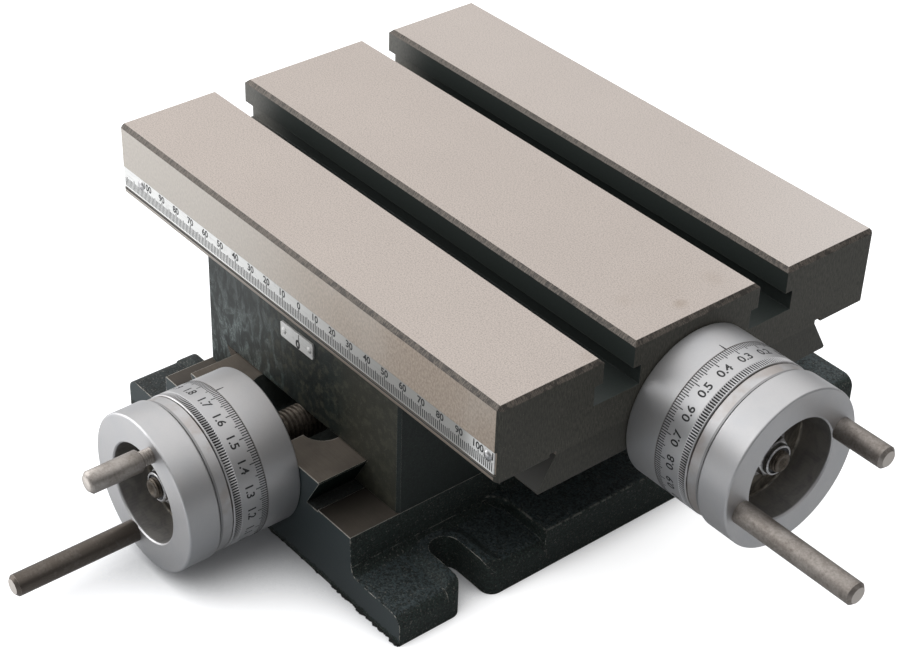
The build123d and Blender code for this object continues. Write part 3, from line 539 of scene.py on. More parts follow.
def crinkle_paint(recipe, tones):
    """Black crinkled paint on the rough casting, smoother on its front, with rails and ledges milled bare.

    The bare faces are those that look up from the ledges' height or above. Outer edges are worn through, and
    inner ones, which the casting itself hides, are not.
    """
    x, y, z = recipe.where()
    across, along, rise = recipe.facing()
    rounded, leaning = recipe.edges(0.7 * MM)
    worn = leaning * recipe.openness(3 * MM, samples=4, only_local=True).ramp(0.6, 0.9)
    grain = recipe.noise(0.9 * MM, 5, 0.75)
    fine = recipe.noise(0.75 * MM, 2, 0.6, seed=3.0)
    ragged = recipe.noise(2.2 * MM, 4, 0.7)
    lumps = recipe.noise(6.0 * MM, 3, 0.55)
    clouds = recipe.noise(26 * MM, 4, 0.6)
    milling = recipe.noise(0.5 * MM, 3, 0.6, stretch=(14, 1, 14))

    ledge = SADDLE_LOW[2] - 0.3 * MM
    raised = z.ramp(ledge - 1.0 * MM, ledge - 0.2 * MM)
    bare = raised * rise.ramp(*SQUARE)
    front = (-along).ramp(*SQUARE) * y.inside(BASE_LOW[1] - 0.02 * MM, BASE_LOW[1] + MM, 0.03 * MM)
    trough = x.near(0.0, TROUGH_HALF, 0.2 * MM) * z.ramp(TROUGH_FLOOR - MM, TROUGH_FLOOR) * (1 - front)
    # Painted shade: the flanks under the rails are made near black, as the shade beneath the dovetails
    flank = raised * abs(across).ramp(0.3, 0.6) * x.near(0.0, LEDGE_HALF, 0.2 * MM) * (1 - trough)
    smooth = front * (z - ragged * 4.5 * MM).ramp(-0.4 * MM, 0.2 * MM)
    # Painted glints: small light specks that stand for sparkles of light on the crinkled paint
    painted_glints = (fine + worn * 0.1).ramp(0.56, 0.70) * ragged.ramp(0.35, 0.65, 0.25, 1.0) * (1 - smooth)
    flash = y.ramp(BASE_LOW[1] - 0.02 * MM, BASE_LOW[1] - 0.1 * MM)
    # Worn edges, painted brighter than bare iron would be, as glints of light on them
    scuffs_and_glints = worn * recipe.noise(5 * MM, 5, 0.8).ramp(0.47, 0.56) * (1 - trough) * (1 - flash)
    crest = z.near(SHOULDER_EDGE, 0.2 * MM, 0.15 * MM) * rise.inside(0.5, 0.9, 0.1)
    oily = z.ramp(ledge + 2 * MM, ledge) * abs(x).ramp(58 * MM, 38 * MM, 0.55, 1.0)

    iron = recipe.layers(
        recipe.grained(milling, tones.milled_iron, 0.75, 1.2),
        (clouds.ramp(0.4, 0.7) * 0.6, tones.milled_iron * 0.45),
        (oily, tones.milled_iron * 0.13),
    )
    # Faces that look up take the front's paint, with painted light: darker at the left, where the lamp lights
    # the pads, and paler at the right, where the table shades the flange
    painted_fill_tops = recipe.grained(x, tones.base_front, 0.7, 1.9, -60 * MM, 60 * MM)
    upper = recipe.mix(rise.ramp(0.8, 0.98), tones.base_paint * 2.2, painted_fill_tops)
    surface = recipe.layers(
        recipe.mix(grain.ramp(0.38, 0.62), tones.base_paint * 0.4, upper),
        (painted_glints * 0.8, tones.worn_edge * 0.35),
        # Bare, dirty iron in the trough, painted pale to lift its deep shade
        (trough, recipe.grained(grain, tones.trough, 0.7, 1.3)),
        (flash, tones.base_paint * 0.3),
        (smooth, tones.base_front),
        (clouds.ramp(0.55, 0.75) * smooth * 0.5, tones.base_front * 0.6),
        (scuffs_and_glints * 0.85, tones.worn_edge * 1.7),
        (crest * ragged.ramp(0.4, 0.6) * 0.3, tones.worn_edge),
        (bare, iron),
        (flank, tones.base_paint * 1.2),
        (worn * raised * rise.ramp(-0.2, 0.2), tones.worn_edge * 1.1),
    )
    plain = bare.max(smooth)
    height = lumps * 0.55 + grain * (0.45 - plain * 0.4) - lumps * plain * 0.5
    recipe.finish(
        tone=surface,
        roughness=0.62 - smooth * 0.2 - bare * 0.2 + grain * 0.12,
        metallic=(bare * 0.5).max(flank),
        normal=recipe.bump(height, 0.8 * MM, rounded, 0.9),
    )


def smooth_paint(recipe, tones):
    """Dark oily paint of the saddle, smeared low on the front and browner towards its right edge; the front's
    left and its smears carry a painted sheen.
    """
    x, _, z = recipe.where()
    _, along, rise = recipe.facing()
    rounded, worn = recipe.edges(0.4 * MM)
    grain = recipe.noise(0.9 * MM, 4, 0.65)
    drift = recipe.noise(8 * MM, 4, 0.62, stretch=(0.6, 1, 1.3), distortion=1.1)
    curls = recipe.noise(5.5 * MM, 4, 0.6, stretch=(0.8, 1, 1.4), distortion=2.4, seed=5.0)
    veins = curls.near(0.5, 0.0, 0.05)
    front = (-along).ramp(0.7, 0.95)
    left = x.ramp(-5 * MM, -38 * MM)
    middle = x.inside(-4 * MM, 12 * MM, 16 * MM)
    right = x.ramp(18 * MM, 36 * MM)
    low = z.ramp(SADDLE_HIGH[2] - 6 * MM, SADDLE_HIGH[2] - 30 * MM)
    machined = abs(rise).ramp(*SQUARE)
    smears = drift.ramp(0.47, 0.6) * front * x.ramp(12 * MM, -22 * MM)
    patches = recipe.noise(3.5 * MM, 5, 0.72, seed=9.0).ramp(0.48, 0.62) * front * (1 - left)
    # Painted glints: small light specks that stand for sparkles of light on the paint
    painted_glints = recipe.noise(0.55 * MM, 2, 0.6).ramp(0.62, 0.72) * (1 - front * left) * (1 - machined)
    clear = tones.saddle_paint
    paint = recipe.layers(
        recipe.grained(grain, clear, 0.6, 1.35, 0.35, 0.65),
        # Painted sheen: the front's left, and the oily smears low on it, are paler blue-grey, as if they
        # caught the light
        (left * front * 0.8, tones.saddle_sheen),
        (smears * (0.2 + low * 0.8) * (0.2 + veins * 0.8), tones.saddle_sheen * 5.0),
        (drift.ramp(0.53, 0.38) * front * 0.9, clear * 0.4),
        (middle * front * 0.6, clear * 0.4),
        (right * front * 0.9, tones.saddle_oil),
        (patches * 0.6, tones.saddle_oil * 2.2),
        (grain.ramp(0.45, 0.7) * right * front * 0.4, tones.saddle_oil * 1.6),
        (machined, tones.milled_iron * 0.7),
        (worn * 0.8, tones.worn_edge * 0.8),
        (painted_glints * 0.4, tones.worn_edge * 0.25),
    )
    recipe.finish(
        tone=paint,
        roughness=0.5 - smears * 0.18 - left * front * 0.08 + grain * 0.1,
        metallic=machined * 0.4,
        normal=recipe.bump(grain * 0.3 + recipe.noise(4 * MM, 3) * 0.7, 0.12 * MM, rounded, 0.7),
    )


def spot(x, y, middle, radius, ragged):
    """One at a place, fading to zero past a radius, with a ragged edge."""
    aside, beyond = x - middle[0], y - middle[1]
    gap = (aside * aside + beyond * beyond) ** 0.5
    return (gap + ragged * radius).ramp(radius * 1.25, radius * 0.45)


def ground_iron(recipe, tones):
    """Cast iron of the table: ground on top, milled elsewhere, dark in the slots and on the ends.

    Each zone is picked by height, by the way the face looks and by the distance from a slot's middle.
    """
    x, y, z = recipe.where()
    across, along, rise = recipe.facing()
    top, middle = TABLE_HIGH[2], (TABLE_LOW[1] + TABLE_HIGH[1]) / 2
    rounded, worn = recipe.edges(0.3 * MM)
    speckle = recipe.noise(0.5 * MM, 3, 0.7)
    pits = recipe.noise(0.8 * MM, 3, 0.6).ramp(0.60, 0.72)
    grain = recipe.noise(0.8 * MM, 4, 0.65, stretch=(1, 1, 1.6))
    ragged = recipe.noise(5 * MM, 4, 0.7)
    clouds = recipe.noise(38 * MM, 4, 0.55)
    lit = rise.ramp(0.95, 0.99) * z.ramp(top - 0.4 * MM, top - 0.1 * MM)
    rim = z.ramp(top - CHAMFER - 0.2 * MM, top - CHAMFER) * (1 - lit)
    front = (-along).ramp(*SQUARE)
    ends = abs(across).ramp(*SQUARE)
    slanted = abs(across).ramp(0.3, 0.5)
    brown = x.ramp(-60 * MM, 80 * MM)
    from_slot = abs(abs(y - middle) - TEE_OFFSET)
    slots = from_slot.ramp(TEE_HALF + 0.3 * MM, TEE_HALF) * (1 - ends)
    slots = slots * z.inside(top - TEE_DEPTH, top - 1.3 * MM, 0.3 * MM)

    # Painted light: the ground top pales towards the back and the back right, where the light falls brightest
    bright = y.ramp(5 * MM, 45 * MM, 0.0, 0.06) + (x + y).ramp(90 * MM, 190 * MM, 0.0, 0.14)
    ground = recipe.layers(
        recipe.grained(clouds, tones.ground_top, 0.93, 1.05),
        (speckle.ramp(0.6, 0.3), tones.ground_top * 0.6),
        (pits * 0.6, tones.ground_top * 0.6),
        (bright, (0.98, 0.96, 0.94)),
        *((spot(x, y, place, radius, ragged) * strength, tones.stain)
          for place, radius, strength in TOP_STAINS),
    )

    # The front browns and darkens towards the right: oil, and painted shade where the light falls off along
    # it
    mottled = recipe.grained(grain, tones.front_oil, 0.8, 1.15, 0.35, 0.65)
    lip = z.ramp(STRIP_LOW[2] - 0.6 * MM, STRIP_LOW[2] - 0.8 * MM)
    # Painted shadow: a black line below the scale strip, for the shade in its groove
    gap = z.inside(STRIP_LOW[2] - 1.1 * MM, STRIP_LOW[2] + 0.1 * MM, 0.05 * MM)
    face = recipe.layers(
        recipe.grained(grain, tones.milled_front, 0.9, 1.05, 0.3, 0.7),
        (brown * clouds.ramp(0.25, 0.6, 0.6, 1.0), mottled),
        (lip * x.ramp(-100 * MM, 30 * MM, 0.3, 0.85), tones.front_oil * 0.4),
        (gap, tones.slot * 0.3),
    )

    rows = recipe.noise(0.45 * MM, 3, 0.6, stretch=(1, 1, 5))
    specks = recipe.noise(0.7 * MM, 3, 0.7, seed=7.0).ramp(0.60, 0.70)
    pit = spot(y, z, END_PIT, END_PIT_RADIUS, 0.0) * x.ramp(0.0, TABLE_HIGH[0])
    # The ends and their chamfers: a darker finish of their own, darkened further as painted shade
    dark = recipe.layers(
        recipe.grained(rows, tones.table_end, 0.6, 1.3, 0.35, 0.65),
        (clouds.ramp(0.45, 0.7) * 0.5, tones.table_end * 0.65),
        (specks * 0.7, tones.table_end * 2.2),
        (pit, tones.slot * 0.2),
    )

    long_marks = recipe.noise(0.28 * MM, 2, 0.6, stretch=(1, 8, 8))
    end_marks = recipe.noise(0.28 * MM, 2, 0.6, stretch=(8, 1, 8))
    marks = slanted * (end_marks - long_marks) + long_marks
    rust = recipe.noise(3.5 * MM, 5, 0.75, seed=11.0).ramp(0.5, 0.58) * brown
    edge = recipe.layers(
        recipe.grained(marks, tones.chamfer, 0.4, 1.5, 0.35, 0.65),
        (rust * 0.8, tones.chamfer * 0.25),
    )

    # Partly wear, partly painted light: the slot walls are paler near their open left end, fading inwards
    mouth = slots * x.ramp(-82 * MM, -108 * MM) * grain.ramp(0.25, 0.7, 0.5, 1.0)
    sill = z.near(top - NECK_DEPTH, 0.2 * MM, 0.15 * MM) * slots
    # Painted shade: the dovetail below the plate, under the table, is darker
    tail = z.ramp(top - PLATE_DEPTH, top - PLATE_DEPTH - 0.3 * MM) * (1 - front)
    surface = recipe.layers(
        recipe.grained(grain, tones.milled_iron, 0.8, 1.2),
        # Painted shade: faces that look down are darker
        (rise.ramp(-0.3, -0.9), tones.milled_iron * 0.6),
        (slanted, dark),
        (front, face),
        (ends, dark),
        (slots, recipe.grained(grain, tones.slot, 0.7, 1.3)),
        (mouth, tones.worn_edge * 0.3),
        (sill * 0.25, tones.worn_edge * 0.3),
        (tail * abs(across).ramp(*SQUARE, 1.0, 0.35), tones.table_end * 0.35),
        (rim, edge),
        (worn * (1 - lit) * (1 - slots) * 0.35, tones.worn_edge * 0.6),
        (lit, ground),
    )
    scratches = recipe.noise(0.18 * MM, 2, 0.6, stretch=(60, 1, 60))
    height = speckle * 0.5 + scratches * 0.5 + marks * rim * 2
    recipe.finish(
        tone=surface,
        roughness=0.5 + speckle * 0.1 - slots * 0.08,
        metallic=0.2,
        normal=recipe.bump(height, 0.06 * MM, rounded, 0.7),
    )


def turned_steel(recipe, tones):
    """Satin turned steel of the collars, dials and wheels.

    The place along the axis is measured out from the collar's seat, on the table's axis past the table's end
    and on the base's elsewhere. From it and from the distance to the axis come the stained wheel step, the
    dark recess and the knurl's shade.
    """
    x, y, z = recipe.where()
    x_axis, y_axis = AXES["x"], AXES["y"]
    on_table = x.ramp(x_axis.origin[0] - 1 * MM, x_axis.origin[0] - 0.5 * MM)
    station = on_table * (x - x_axis.origin[0]) + (1 - on_table) * (y_axis.origin[1] - y)
    side = on_table * (y - x_axis.origin[1]) + (1 - on_table) * x
    rise = z - on_table * (x_axis.origin[2] - y_axis.origin[2]) - y_axis.origin[2]
    radius = (side * side + rise * rise) ** 0.5
    rounded, worn = recipe.edges(0.2 * MM)
    grain = recipe.noise(0.5 * MM, 3, 0.6)
    clouds = recipe.noise(11 * MM, 4, 0.6)
    dial_start, dial_end = x_axis.span("x_dial")
    face = x_axis.span("x_handwheel")[1]
    recess_radius = 19.6 * MM
    sizes = bpy.context.scene.dial_sizes
    knurl_start = dial_start + sizes.knurl_start
    # Painted shade in the knurl's grooves, darker towards their roots
    knurl = station.inside(knurl_start, knurl_start + sizes.knurl_length, 0.1 * MM)
    knurl = knurl * radius.ramp(x_axis.radius - 0.08 * MM, x_axis.radius - 0.30 * MM)
    step = station.inside(dial_end + 0.3 * MM, dial_end + 4.2 * MM, 0.6 * MM)
    # Painted shade: a dark ring past the step, for the shade in a shallow groove
    line = station.inside(dial_end + 4.6 * MM, dial_end + 5.4 * MM, 0.25 * MM)
    recess = radius.ramp(recess_radius + 0.3 * MM, recess_radius)
    recess = recess * station.ramp(face - 0.7 * MM, face - 1.2 * MM)
    recess = recess * station.ramp(dial_end, dial_end + 0.5 * MM)
    seam = station.inside(dial_end - 0.1 * MM, dial_end + 0.5 * MM, 0.2 * MM) * clouds.ramp(0.3, 0.6)
    seam = seam + station.near(dial_start, 0.2 * MM, 0.2 * MM)
    blotches = recipe.noise(6 * MM, 5, 0.65, distortion=0.8)
    metal = recipe.layers(
        recipe.grained(grain, tones.steel, 0.94, 1.04),
        (clouds.ramp(0.35, 0.75) * 0.35, tones.steel_tint),
        (step * clouds.ramp(0.4, 0.65) * 0.55, tones.step_tint),
        (line * 0.6, tones.steel * 0.35),
        (knurl, tones.steel * 0.06),
        (recess, recipe.grained(blotches, tones.recess, 0.45, 1.3, 0.35, 0.65)),
        (seam * 0.7, tones.step_tint * 0.4),
        (worn * (1 - knurl), tones.steel),
    )
    recipe.finish(
        tone=metal,
        roughness=0.47 + clouds * 0.06 + recess * 0.04,
        metallic=1.0,
        normal=recipe.bump(grain, 0.012 * MM, rounded, 0.6),
    )


def plain_steel(recipe, tones):
    """Bright plain steel, such as nuts, washers and rivets."""
    rounded = recipe.round_edges(0.15 * MM)
    grain = recipe.noise(0.8 * MM, 4, 0.65)
    metal = recipe.grained(grain, tones.steel, 0.55, 1.1, 0.35, 0.7)
    recipe.finish(tone=metal, roughness=0.24 + grain * 0.15, metallic=1.0, normal=rounded)


def oiled_steel(recipe, tones):
    """Leadscrews and gibs: cut steel under brown oil, darker where it pools."""
    grain = recipe.noise(1.4 * MM, 4, 0.65)
    metal = recipe.grained(grain, tones.screw, 0.5, 1.25, 0.3, 0.7)
    recipe.finish(tone=metal, roughness=0.38 + grain * 0.2, metallic=0.9,
                  normal=recipe.bump(grain, 0.03 * MM, None, 0.6))


def dark_steel(recipe, tones):
    """Blackened screws and lock nuts."""
    rounded, worn = recipe.edges(0.2 * MM)
    grain = recipe.noise(1.2 * MM, 4, 0.6)
    metal = recipe.layers(
        recipe.mix(grain, (0.012, 0.012, 0.014), (0.05, 0.05, 0.055)),
        (worn * 0.5, tones.worn_edge * 0.6),
    )
    recipe.finish(tone=metal, roughness=0.38 + grain * 0.15, metallic=0.6, normal=rounded)


def worn_steel(recipe, tones):
    """Handles: turned steel under a mottled brown oil film, with bright worn edges, and end faces painted
    bright as a reflection.
    """
    rounded, worn = recipe.edges(0.25 * MM)
    x, _, z = recipe.where()
    across, along, _ = recipe.facing()
    clouds = recipe.noise(7 * MM, 5, 0.7)
    rings = recipe.noise(0.9 * MM, 4, 0.72)
    on_table = x.ramp(TABLE_HIGH[0], TABLE_HIGH[0] + MM)
    dark = (1 - on_table) * z.ramp(AXES["y"].origin[2], AXES["y"].origin[2] - 5 * MM, -0.25, 0.5)
    film = clouds.ramp(0.3, 0.7, 0.2, 0.7) + rings.ramp(0.3, 0.7, -0.15, 0.2) + dark
    # Painted reflection: the end faces are bright, as if they mirrored the pale surroundings
    tip = on_table * across.ramp(*SQUARE) + (1 - on_table) * (-along).ramp(*SQUARE)
    metal = recipe.layers(
        recipe.mix(film, tones.handle_bright, tones.handle_film),
        (dark.ramp(0.2, 0.5) * 0.6, tones.handle_film * 0.45),
        (rings.ramp(0.62, 0.74) * 0.4, tones.handle_film * 0.4),
        (worn.max(tip * 0.8), tones.handle_bright * 1.6),
    )
    recipe.finish(tone=metal, roughness=0.38 + rings * 0.16, metallic=0.9,
                  normal=recipe.bump(rings, 0.03 * MM, rounded, 0.6))


def bronze(recipe, tones):
    """Machined bronze of the leadscrew nuts."""
    rounded = recipe.round_edges(0.3 * MM)
    grain = recipe.noise(1.5 * MM, 4, 0.6)
    metal = recipe.grained(grain, tones.bronze, 0.75, 1.2)
    recipe.finish(tone=metal, roughness=0.3 + grain * 0.15, metallic=1.0, normal=rounded)


def nylon(recipe, tones):
    """Dark ring in the lock nuts."""
    grain = recipe.noise(0.6 * MM, 3, 0.6)
    recipe.finish(tone=recipe.mix(grain, (0.012, 0.013, 0.018), (0.03, 0.032, 0.04)), roughness=0.5)


def scale_metal(recipe, tones):
    """Matt silver of the scale strip and the index plate, whiter to the left, with fine scratches."""
    x, _, _ = recipe.where()
    streaks = recipe.noise(0.4 * MM, 3, 0.6, stretch=(25, 1, 1))
    smudges = recipe.noise(5 * MM, 4, 0.6)
    dull = x.ramp(-60 * MM, 70 * MM) * x.ramp(98 * MM, 108 * MM, 1.0, 0.2)
    metal = recipe.layers(
        recipe.mix(dull, tones.scale_white, tones.scale_silver),
        (streaks.ramp(0.55, 0.75) * 0.3, tones.scale_silver * 0.6),
        (smudges.ramp(0.55, 0.75) * 0.3, tones.scale_silver * 0.75),
    )
    recipe.finish(tone=metal, roughness=0.38 + streaks * 0.2, metallic=0.25,
                  normal=recipe.bump(streaks, 0.01 * MM, recipe.round_edges(0.15 * MM), 0.5))


def ink(recipe, tones):
    """Black filling of the marks and digits."""
    grain = recipe.noise(0.5 * MM, 3, 0.6)
    recipe.finish(tone=recipe.grained(grain, tones.ink, 0.7, 1.8), roughness=0.55)


FINISHES = {
    "base_paint": crinkle_paint,
    "saddle_paint": smooth_paint,
    "ground_iron": ground_iron,
    "turned_steel": turned_steel,
    "leadscrew_steel": oiled_steel,
    "handle_steel": worn_steel,
    "bronze": bronze,
    "gib_steel": oiled_steel,
    "black_steel": dark_steel,
    "plated_steel": plain_steel,
    "nylon": nylon,
    "scale_metal": scale_metal,
    "ink": ink,
}

# Nodes that look otherwise than their slot: the index plate's pins are as matt as the plate
NODE_FINISHES = {"index_pins": "scale_metal"}


def thread_height(phase):
    """Height of a rounded thread over one pitch, from 0 in the root to 1 on the crest."""
    wave = np.cos(2 * math.pi * phase)
    return 0.5 + 0.5 * wave * (1.5 - 0.5 * wave ** 2)


def threaded_radii(stations, angles, outer, root, pitch, hand):
    """Radius at each station and angle of a thread whose crest climbs one pitch in each turn."""
    phase = stations[:, None] / pitch - hand * angles[None, :] / (2 * math.pi)
    return root + (outer - root) * thread_height(phase)


def around(columns):
    """Angles evenly round a turn."""
    return np.linspace(0, 2 * math.pi, columns, endpoint=False)


def plain_rows(columns, *rows):
    """The stations of an outline and its radii at every angle, from pairs of a station and a radius."""
    stations, radii = np.array(rows).T
    return stations, np.repeat(radii[:, None], columns, axis=1)


def make_turned(axis, node, title, body, spans, sharp, close_rows=False):
    """A turned piece in a node's place, from spans of stations and their radii at every angle."""
    stations, radii = (np.concatenate(part) for part in zip(*spans))
    columns = radii.shape[1]
    points = axis.points(radii, around(columns)[None, :], stations[:, None]).reshape(-1, 3)
    faces = grid_faces(len(stations), columns, close_rows)
    slot = SLOT_OF[node]
    make_piece(title, points, faces, body, finish_of(slot), [node], sharp)


def make_leadscrew(axis, sizes, hand):
    """The whole screw: its radius is the profile of the CAD bar, less a thread where it is threaded.

    Along the bar the radius is the root plus the thread's height, a wave of the station over the pitch
    less the angle over a turn.
    """
    name = axis.name
    node = f"{name}_leadscrew"
    outer, bevel, flange_width = 7.0 * MM, 1.2 * MM, 4.0 * MM
    flange, journal, seat, stud = 8.2 * MM, 6.0 * MM, 5.0 * MM, 4.0 * MM
    centre_radius, centre_depth = 2.2 * MM, 2.6 * MM
    inner_end, outer_end = axis.span(node)
    flange_out, hub, recess = (axis.span(f"{name}_{other}")[0]
                               for other in ("thrust_washers", "handwheel", "wheel_washer"))
    flange_in = flange_out - flange_width
    columns = 48

    def threaded(start, end, radius, depth, pitch, start_bevel, end_bevel):
        stations = np.linspace(start, end, int((end - start) / pitch * 14))
        radii = threaded_radii(stations, around(columns), radius, radius - depth, pitch, hand)
        bevelled = radius + np.minimum(stations - start - start_bevel, end - stations - end_bevel)
        return stations, np.minimum(radii, bevelled[:, None])

    lead, stud_cut = (sizes.lead_depth, sizes.lead_pitch), (sizes.stud_depth, sizes.stud_pitch)
    spans = [
        plain_rows(columns, (inner_end, 0.0)),
        threaded(inner_end, flange_in - sizes.lead_pitch, outer, *lead, bevel, 0),
        plain_rows(columns, (flange_in, outer - sizes.lead_depth), (flange_in, flange), (flange_out, flange),
                   (flange_out, journal), (hub, journal), (hub, seat), (recess, seat)),
        threaded(recess, outer_end, stud, *stud_cut, 0, bevel / 2),
        plain_rows(columns, (outer_end, centre_radius), (outer_end - centre_depth, 0.0)),
    ]
    make_turned(axis, node, f"{name}_leadscrew_thread", f"{name}_screw", spans, 75 * DEGREE)


def make_dial(axis, sizes):
    """The dial ring: a closed outline carried round the axis, its radius cut by the knurl's teeth.

    In the knurled band the radius drops by the depth times a triangle wave of the angle.
    """
    name = axis.name
    start, end = axis.span(f"{name}_dial")
    outer, bore, edge, bevel = axis.radius, 19.2 * MM, 0.35 * MM, 0.12 * MM
    knurl_start = start + sizes.knurl_start
    knurl_end = knurl_start + sizes.knurl_length
    fade = 0.35 * MM
    outline = np.array([
        (start, bore, 0), (start, outer - bevel, 0), (start + bevel, outer, 0), (knurl_start, outer, 0),
        (knurl_start + fade, outer, 1), (knurl_end - fade, outer, 1), (knurl_end, outer, 0),
        (end - edge, outer, 0), (end, outer - edge, 0), (end, bore, 0),
    ])
    columns = 4 * sizes.knurl_teeth
    tooth = np.abs(2 * ((around(columns) * sizes.knurl_teeth / (2 * math.pi)) % 1) - 1)
    radii = outline[:, 1:2] - sizes.knurl_depth * outline[:, 2:3] * (1 - tooth[None, :])
    spans = [(outline[:, 0], radii)]
    make_turned(axis, f"{name}_dial", f"{name}_dial_knurled", f"{name}_dial_ring", spans, 25 * DEGREE, True)


def make_inked(name, shapes, body):
    """Black marks as one piece, from several pairs of points and faces."""
    starts = np.cumsum([0] + [len(points) for points, _ in shapes[:-1]])
    points = np.concatenate([points for points, _ in shapes])
    faces = np.concatenate([faces + start for (_, faces), start in zip(shapes, starts)])
    make_piece(name, points, faces, body, finish_of("ink"))


def make_dial_marks(axis, sizes, zero):
    """Black marks and numbers of a dial, wrapped on its surface."""
    start = axis.span(f"{axis.name}_dial")[0]
    turn = 2 * math.pi
    order = np.arange(sizes.divisions)
    per_label = sizes.divisions // sizes.labels
    length = np.where(order % per_label == 0, sizes.long_mark, sizes.short_mark)
    length = np.where(order % per_label == per_label // 2, sizes.middle_mark, length)
    angles = zero + turn * order / sizes.divisions
    bars, faces = bar_slabs(-angles * axis.radius, sizes.mark_width / 2, -length, 0.0)
    shapes = [(wrap_on_dial(axis, bars, 0.0, start), faces)]
    for label in range(sizes.labels):
        points, faces = letter_shape(f"{label * sizes.label_step:.1f}", sizes.label_height, weight=0.02)
        angle = zero + turn * label / sizes.labels
        shapes.append((wrap_on_dial(axis, points, angle, start + sizes.label_station), faces))
    make_inked(f"{axis.name}_dial_marks", shapes, f"{axis.name}_dial_ring")


def make_collar_mark(axis, angle, body):
    """The index line across a collar's outer edge, wider towards the dial."""
    edge = axis.span(f"{axis.name}_collar")[1]
    half_width, start, end = 0.33 * MM, 0.1 * MM, 3.2 * MM
    points, faces = bar_slabs(np.array([0.0]), half_width, start, end, taper=0.45)
    make_inked(f"{axis.name}_collar_mark", [(wrap_on_dial(axis, points, angle, edge), faces)], body)


def make_scale_marks(sizes):
    """Millimetre marks and numbers of the scale strip, counted both ways from its zero."""
    middle = (TABLE_LOW[0] + TABLE_HIGH[0]) / 2
    zero = middle + sizes.zero_shift
    margin = 0.7 * MM
    first = math.ceil((STRIP_LOW[0] + margin - zero) / MM)
    last = math.floor((STRIP_HIGH[0] - margin - zero) / MM)
    order = np.arange(first, last + 1)
    length = np.where(order % 5 == 0, sizes.middle_mark, sizes.short_mark)
    length = np.where(order % 10 == 0, sizes.long_mark, length)
    foot = STRIP_LOW[2] + 0.8 * MM
    bars, faces = bar_slabs(order * MM, sizes.mark_width / 2, 0.0, length)
    shapes = [(lay_on_front(bars, zero, foot, STRIP_LOW[1]), faces)]
    label_height = STRIP_HIGH[2] - 2.1 * MM
    labels = [(str(abs(label)), label) for label in range(-100, last + 1, 10)]
    for label, place in (*labels, ("1", last + 0.2)):
        points, faces = letter_shape(label, sizes.label_height, weight=0.024)
        shapes.append((lay_on_front(points, zero + place * MM, label_height, STRIP_LOW[1]), faces))
    make_inked("scale_marks", shapes, "table")


def make_plate_marks(sizes):
    """The zero and its line on the saddle's plate."""
    line, line_faces = bar_slabs(np.array([0.6 * MM]), 0.2 * MM, -3.0 * MM, -0.1 * MM)
    digit, digit_faces = letter_shape("0", sizes.plate_label, weight=0.05)
    middle = (PLATE_LOW[0] + PLATE_HIGH[0]) / 2 + 0.8 * MM
    make_inked("index_plate_marks", [
        (lay_on_front(line, middle, PLATE_HIGH[2], PLATE_LOW[1]), line_faces),
        (lay_on_front(digit, middle, PLATE_LOW[2] + sizes.plate_label / 2, PLATE_LOW[1]), digit_faces),
    ], "saddle")


def make_short_handle(sizes):
    """The backed-off short handle: a round grip on a stem whose thread shows before the wheel's face."""
    axis = AXES["y"]
    node = "y_short_handle"
    low, high = corners(node)
    own = Axis("y", (0, -1, 0), (1, 0, 0))
    own.origin = (low + high) / 2 * np.array([1, 0, 1]) + axis.origin * np.array([0, 1, 0])
    start, end = own.span(node)
    grip, stem, bevel, stem_length = (high - low)[2] / 2, 3.0 * MM, 1.2 * MM, 10.0 * MM
    seat, columns = start + stem_length, 40
    threaded = np.linspace(start, seat, 120)
    cut = threaded_radii(threaded, around(columns), stem, stem - sizes.stem_depth, sizes.stem_pitch, 1)
    spans = [
        plain_rows(columns, (start, 0.0)),
        (threaded, cut),
        plain_rows(columns, (seat, stem), (seat, grip - 0.3 * MM), (seat + 0.3 * MM, grip),
                   (end - bevel, grip), (end, grip - bevel), (end, 0.0)),
    ]
    make_turned(own, node, "y_short_handle_threaded", "y_screw", spans, 75 * DEGREE)


def make_cast_flash():
    """Ragged fin of paint and iron along the foot of the base's front face.

    Five points at each place along X: two sunk in the base and three outside it. Their reach is a mean plus
    two runs of random numbers, one averaged over many places and one over few.
    """
    order = np.random.default_rng(7)
    count = 700
    places = np.linspace(BASE_LOW[0] + 0.3 * MM, BASE_HIGH[0] - 0.3 * MM, count)
    slow, quick = (np.convolve(order.normal(0, width ** -0.5, count + width - 1), np.ones(width), "valid")
                   for width in (25, 4))
    reach = np.clip(0.55 + 0.35 * slow + 0.2 * quick, 0.15, 1.6) * MM
    face, sunk = BASE_LOW[1], 0.3 * MM
    height = 0.6 * MM + 0.5 * reach
    outline = [
        (np.full(count, face + sunk), np.zeros(count)),
        (face - reach * 0.8, np.zeros(count)),
        (face - reach, height * 0.4),
        (face - reach * 0.5, height * 0.8),
        (np.full(count, face + sunk), height),
    ]
    points = np.stack([np.stack([places, y, z], axis=-1) for y, z in outline], axis=1).reshape(-1, 3)
    faces = grid_faces(count, len(outline))
    fan = np.array([(0, 2, 1), (0, 3, 2), (0, 4, 3)])
    triangles = np.concatenate([faces[:, :3], faces[:, [0, 2, 3]], fan, fan + len(points) - len(outline)])
    make_piece("base_cast_flash", points, triangles, "base", finish_of("base_paint"))


def dress_nodes():
    """Gives every node of the frame the finish of its material slot, or its own."""
    for name, piece in frame["nodes"].items():
        piece.data.materials.clear()
        piece.data.materials.append(finish_of(NODE_FINISHES.get(name, SLOT_OF[name])))


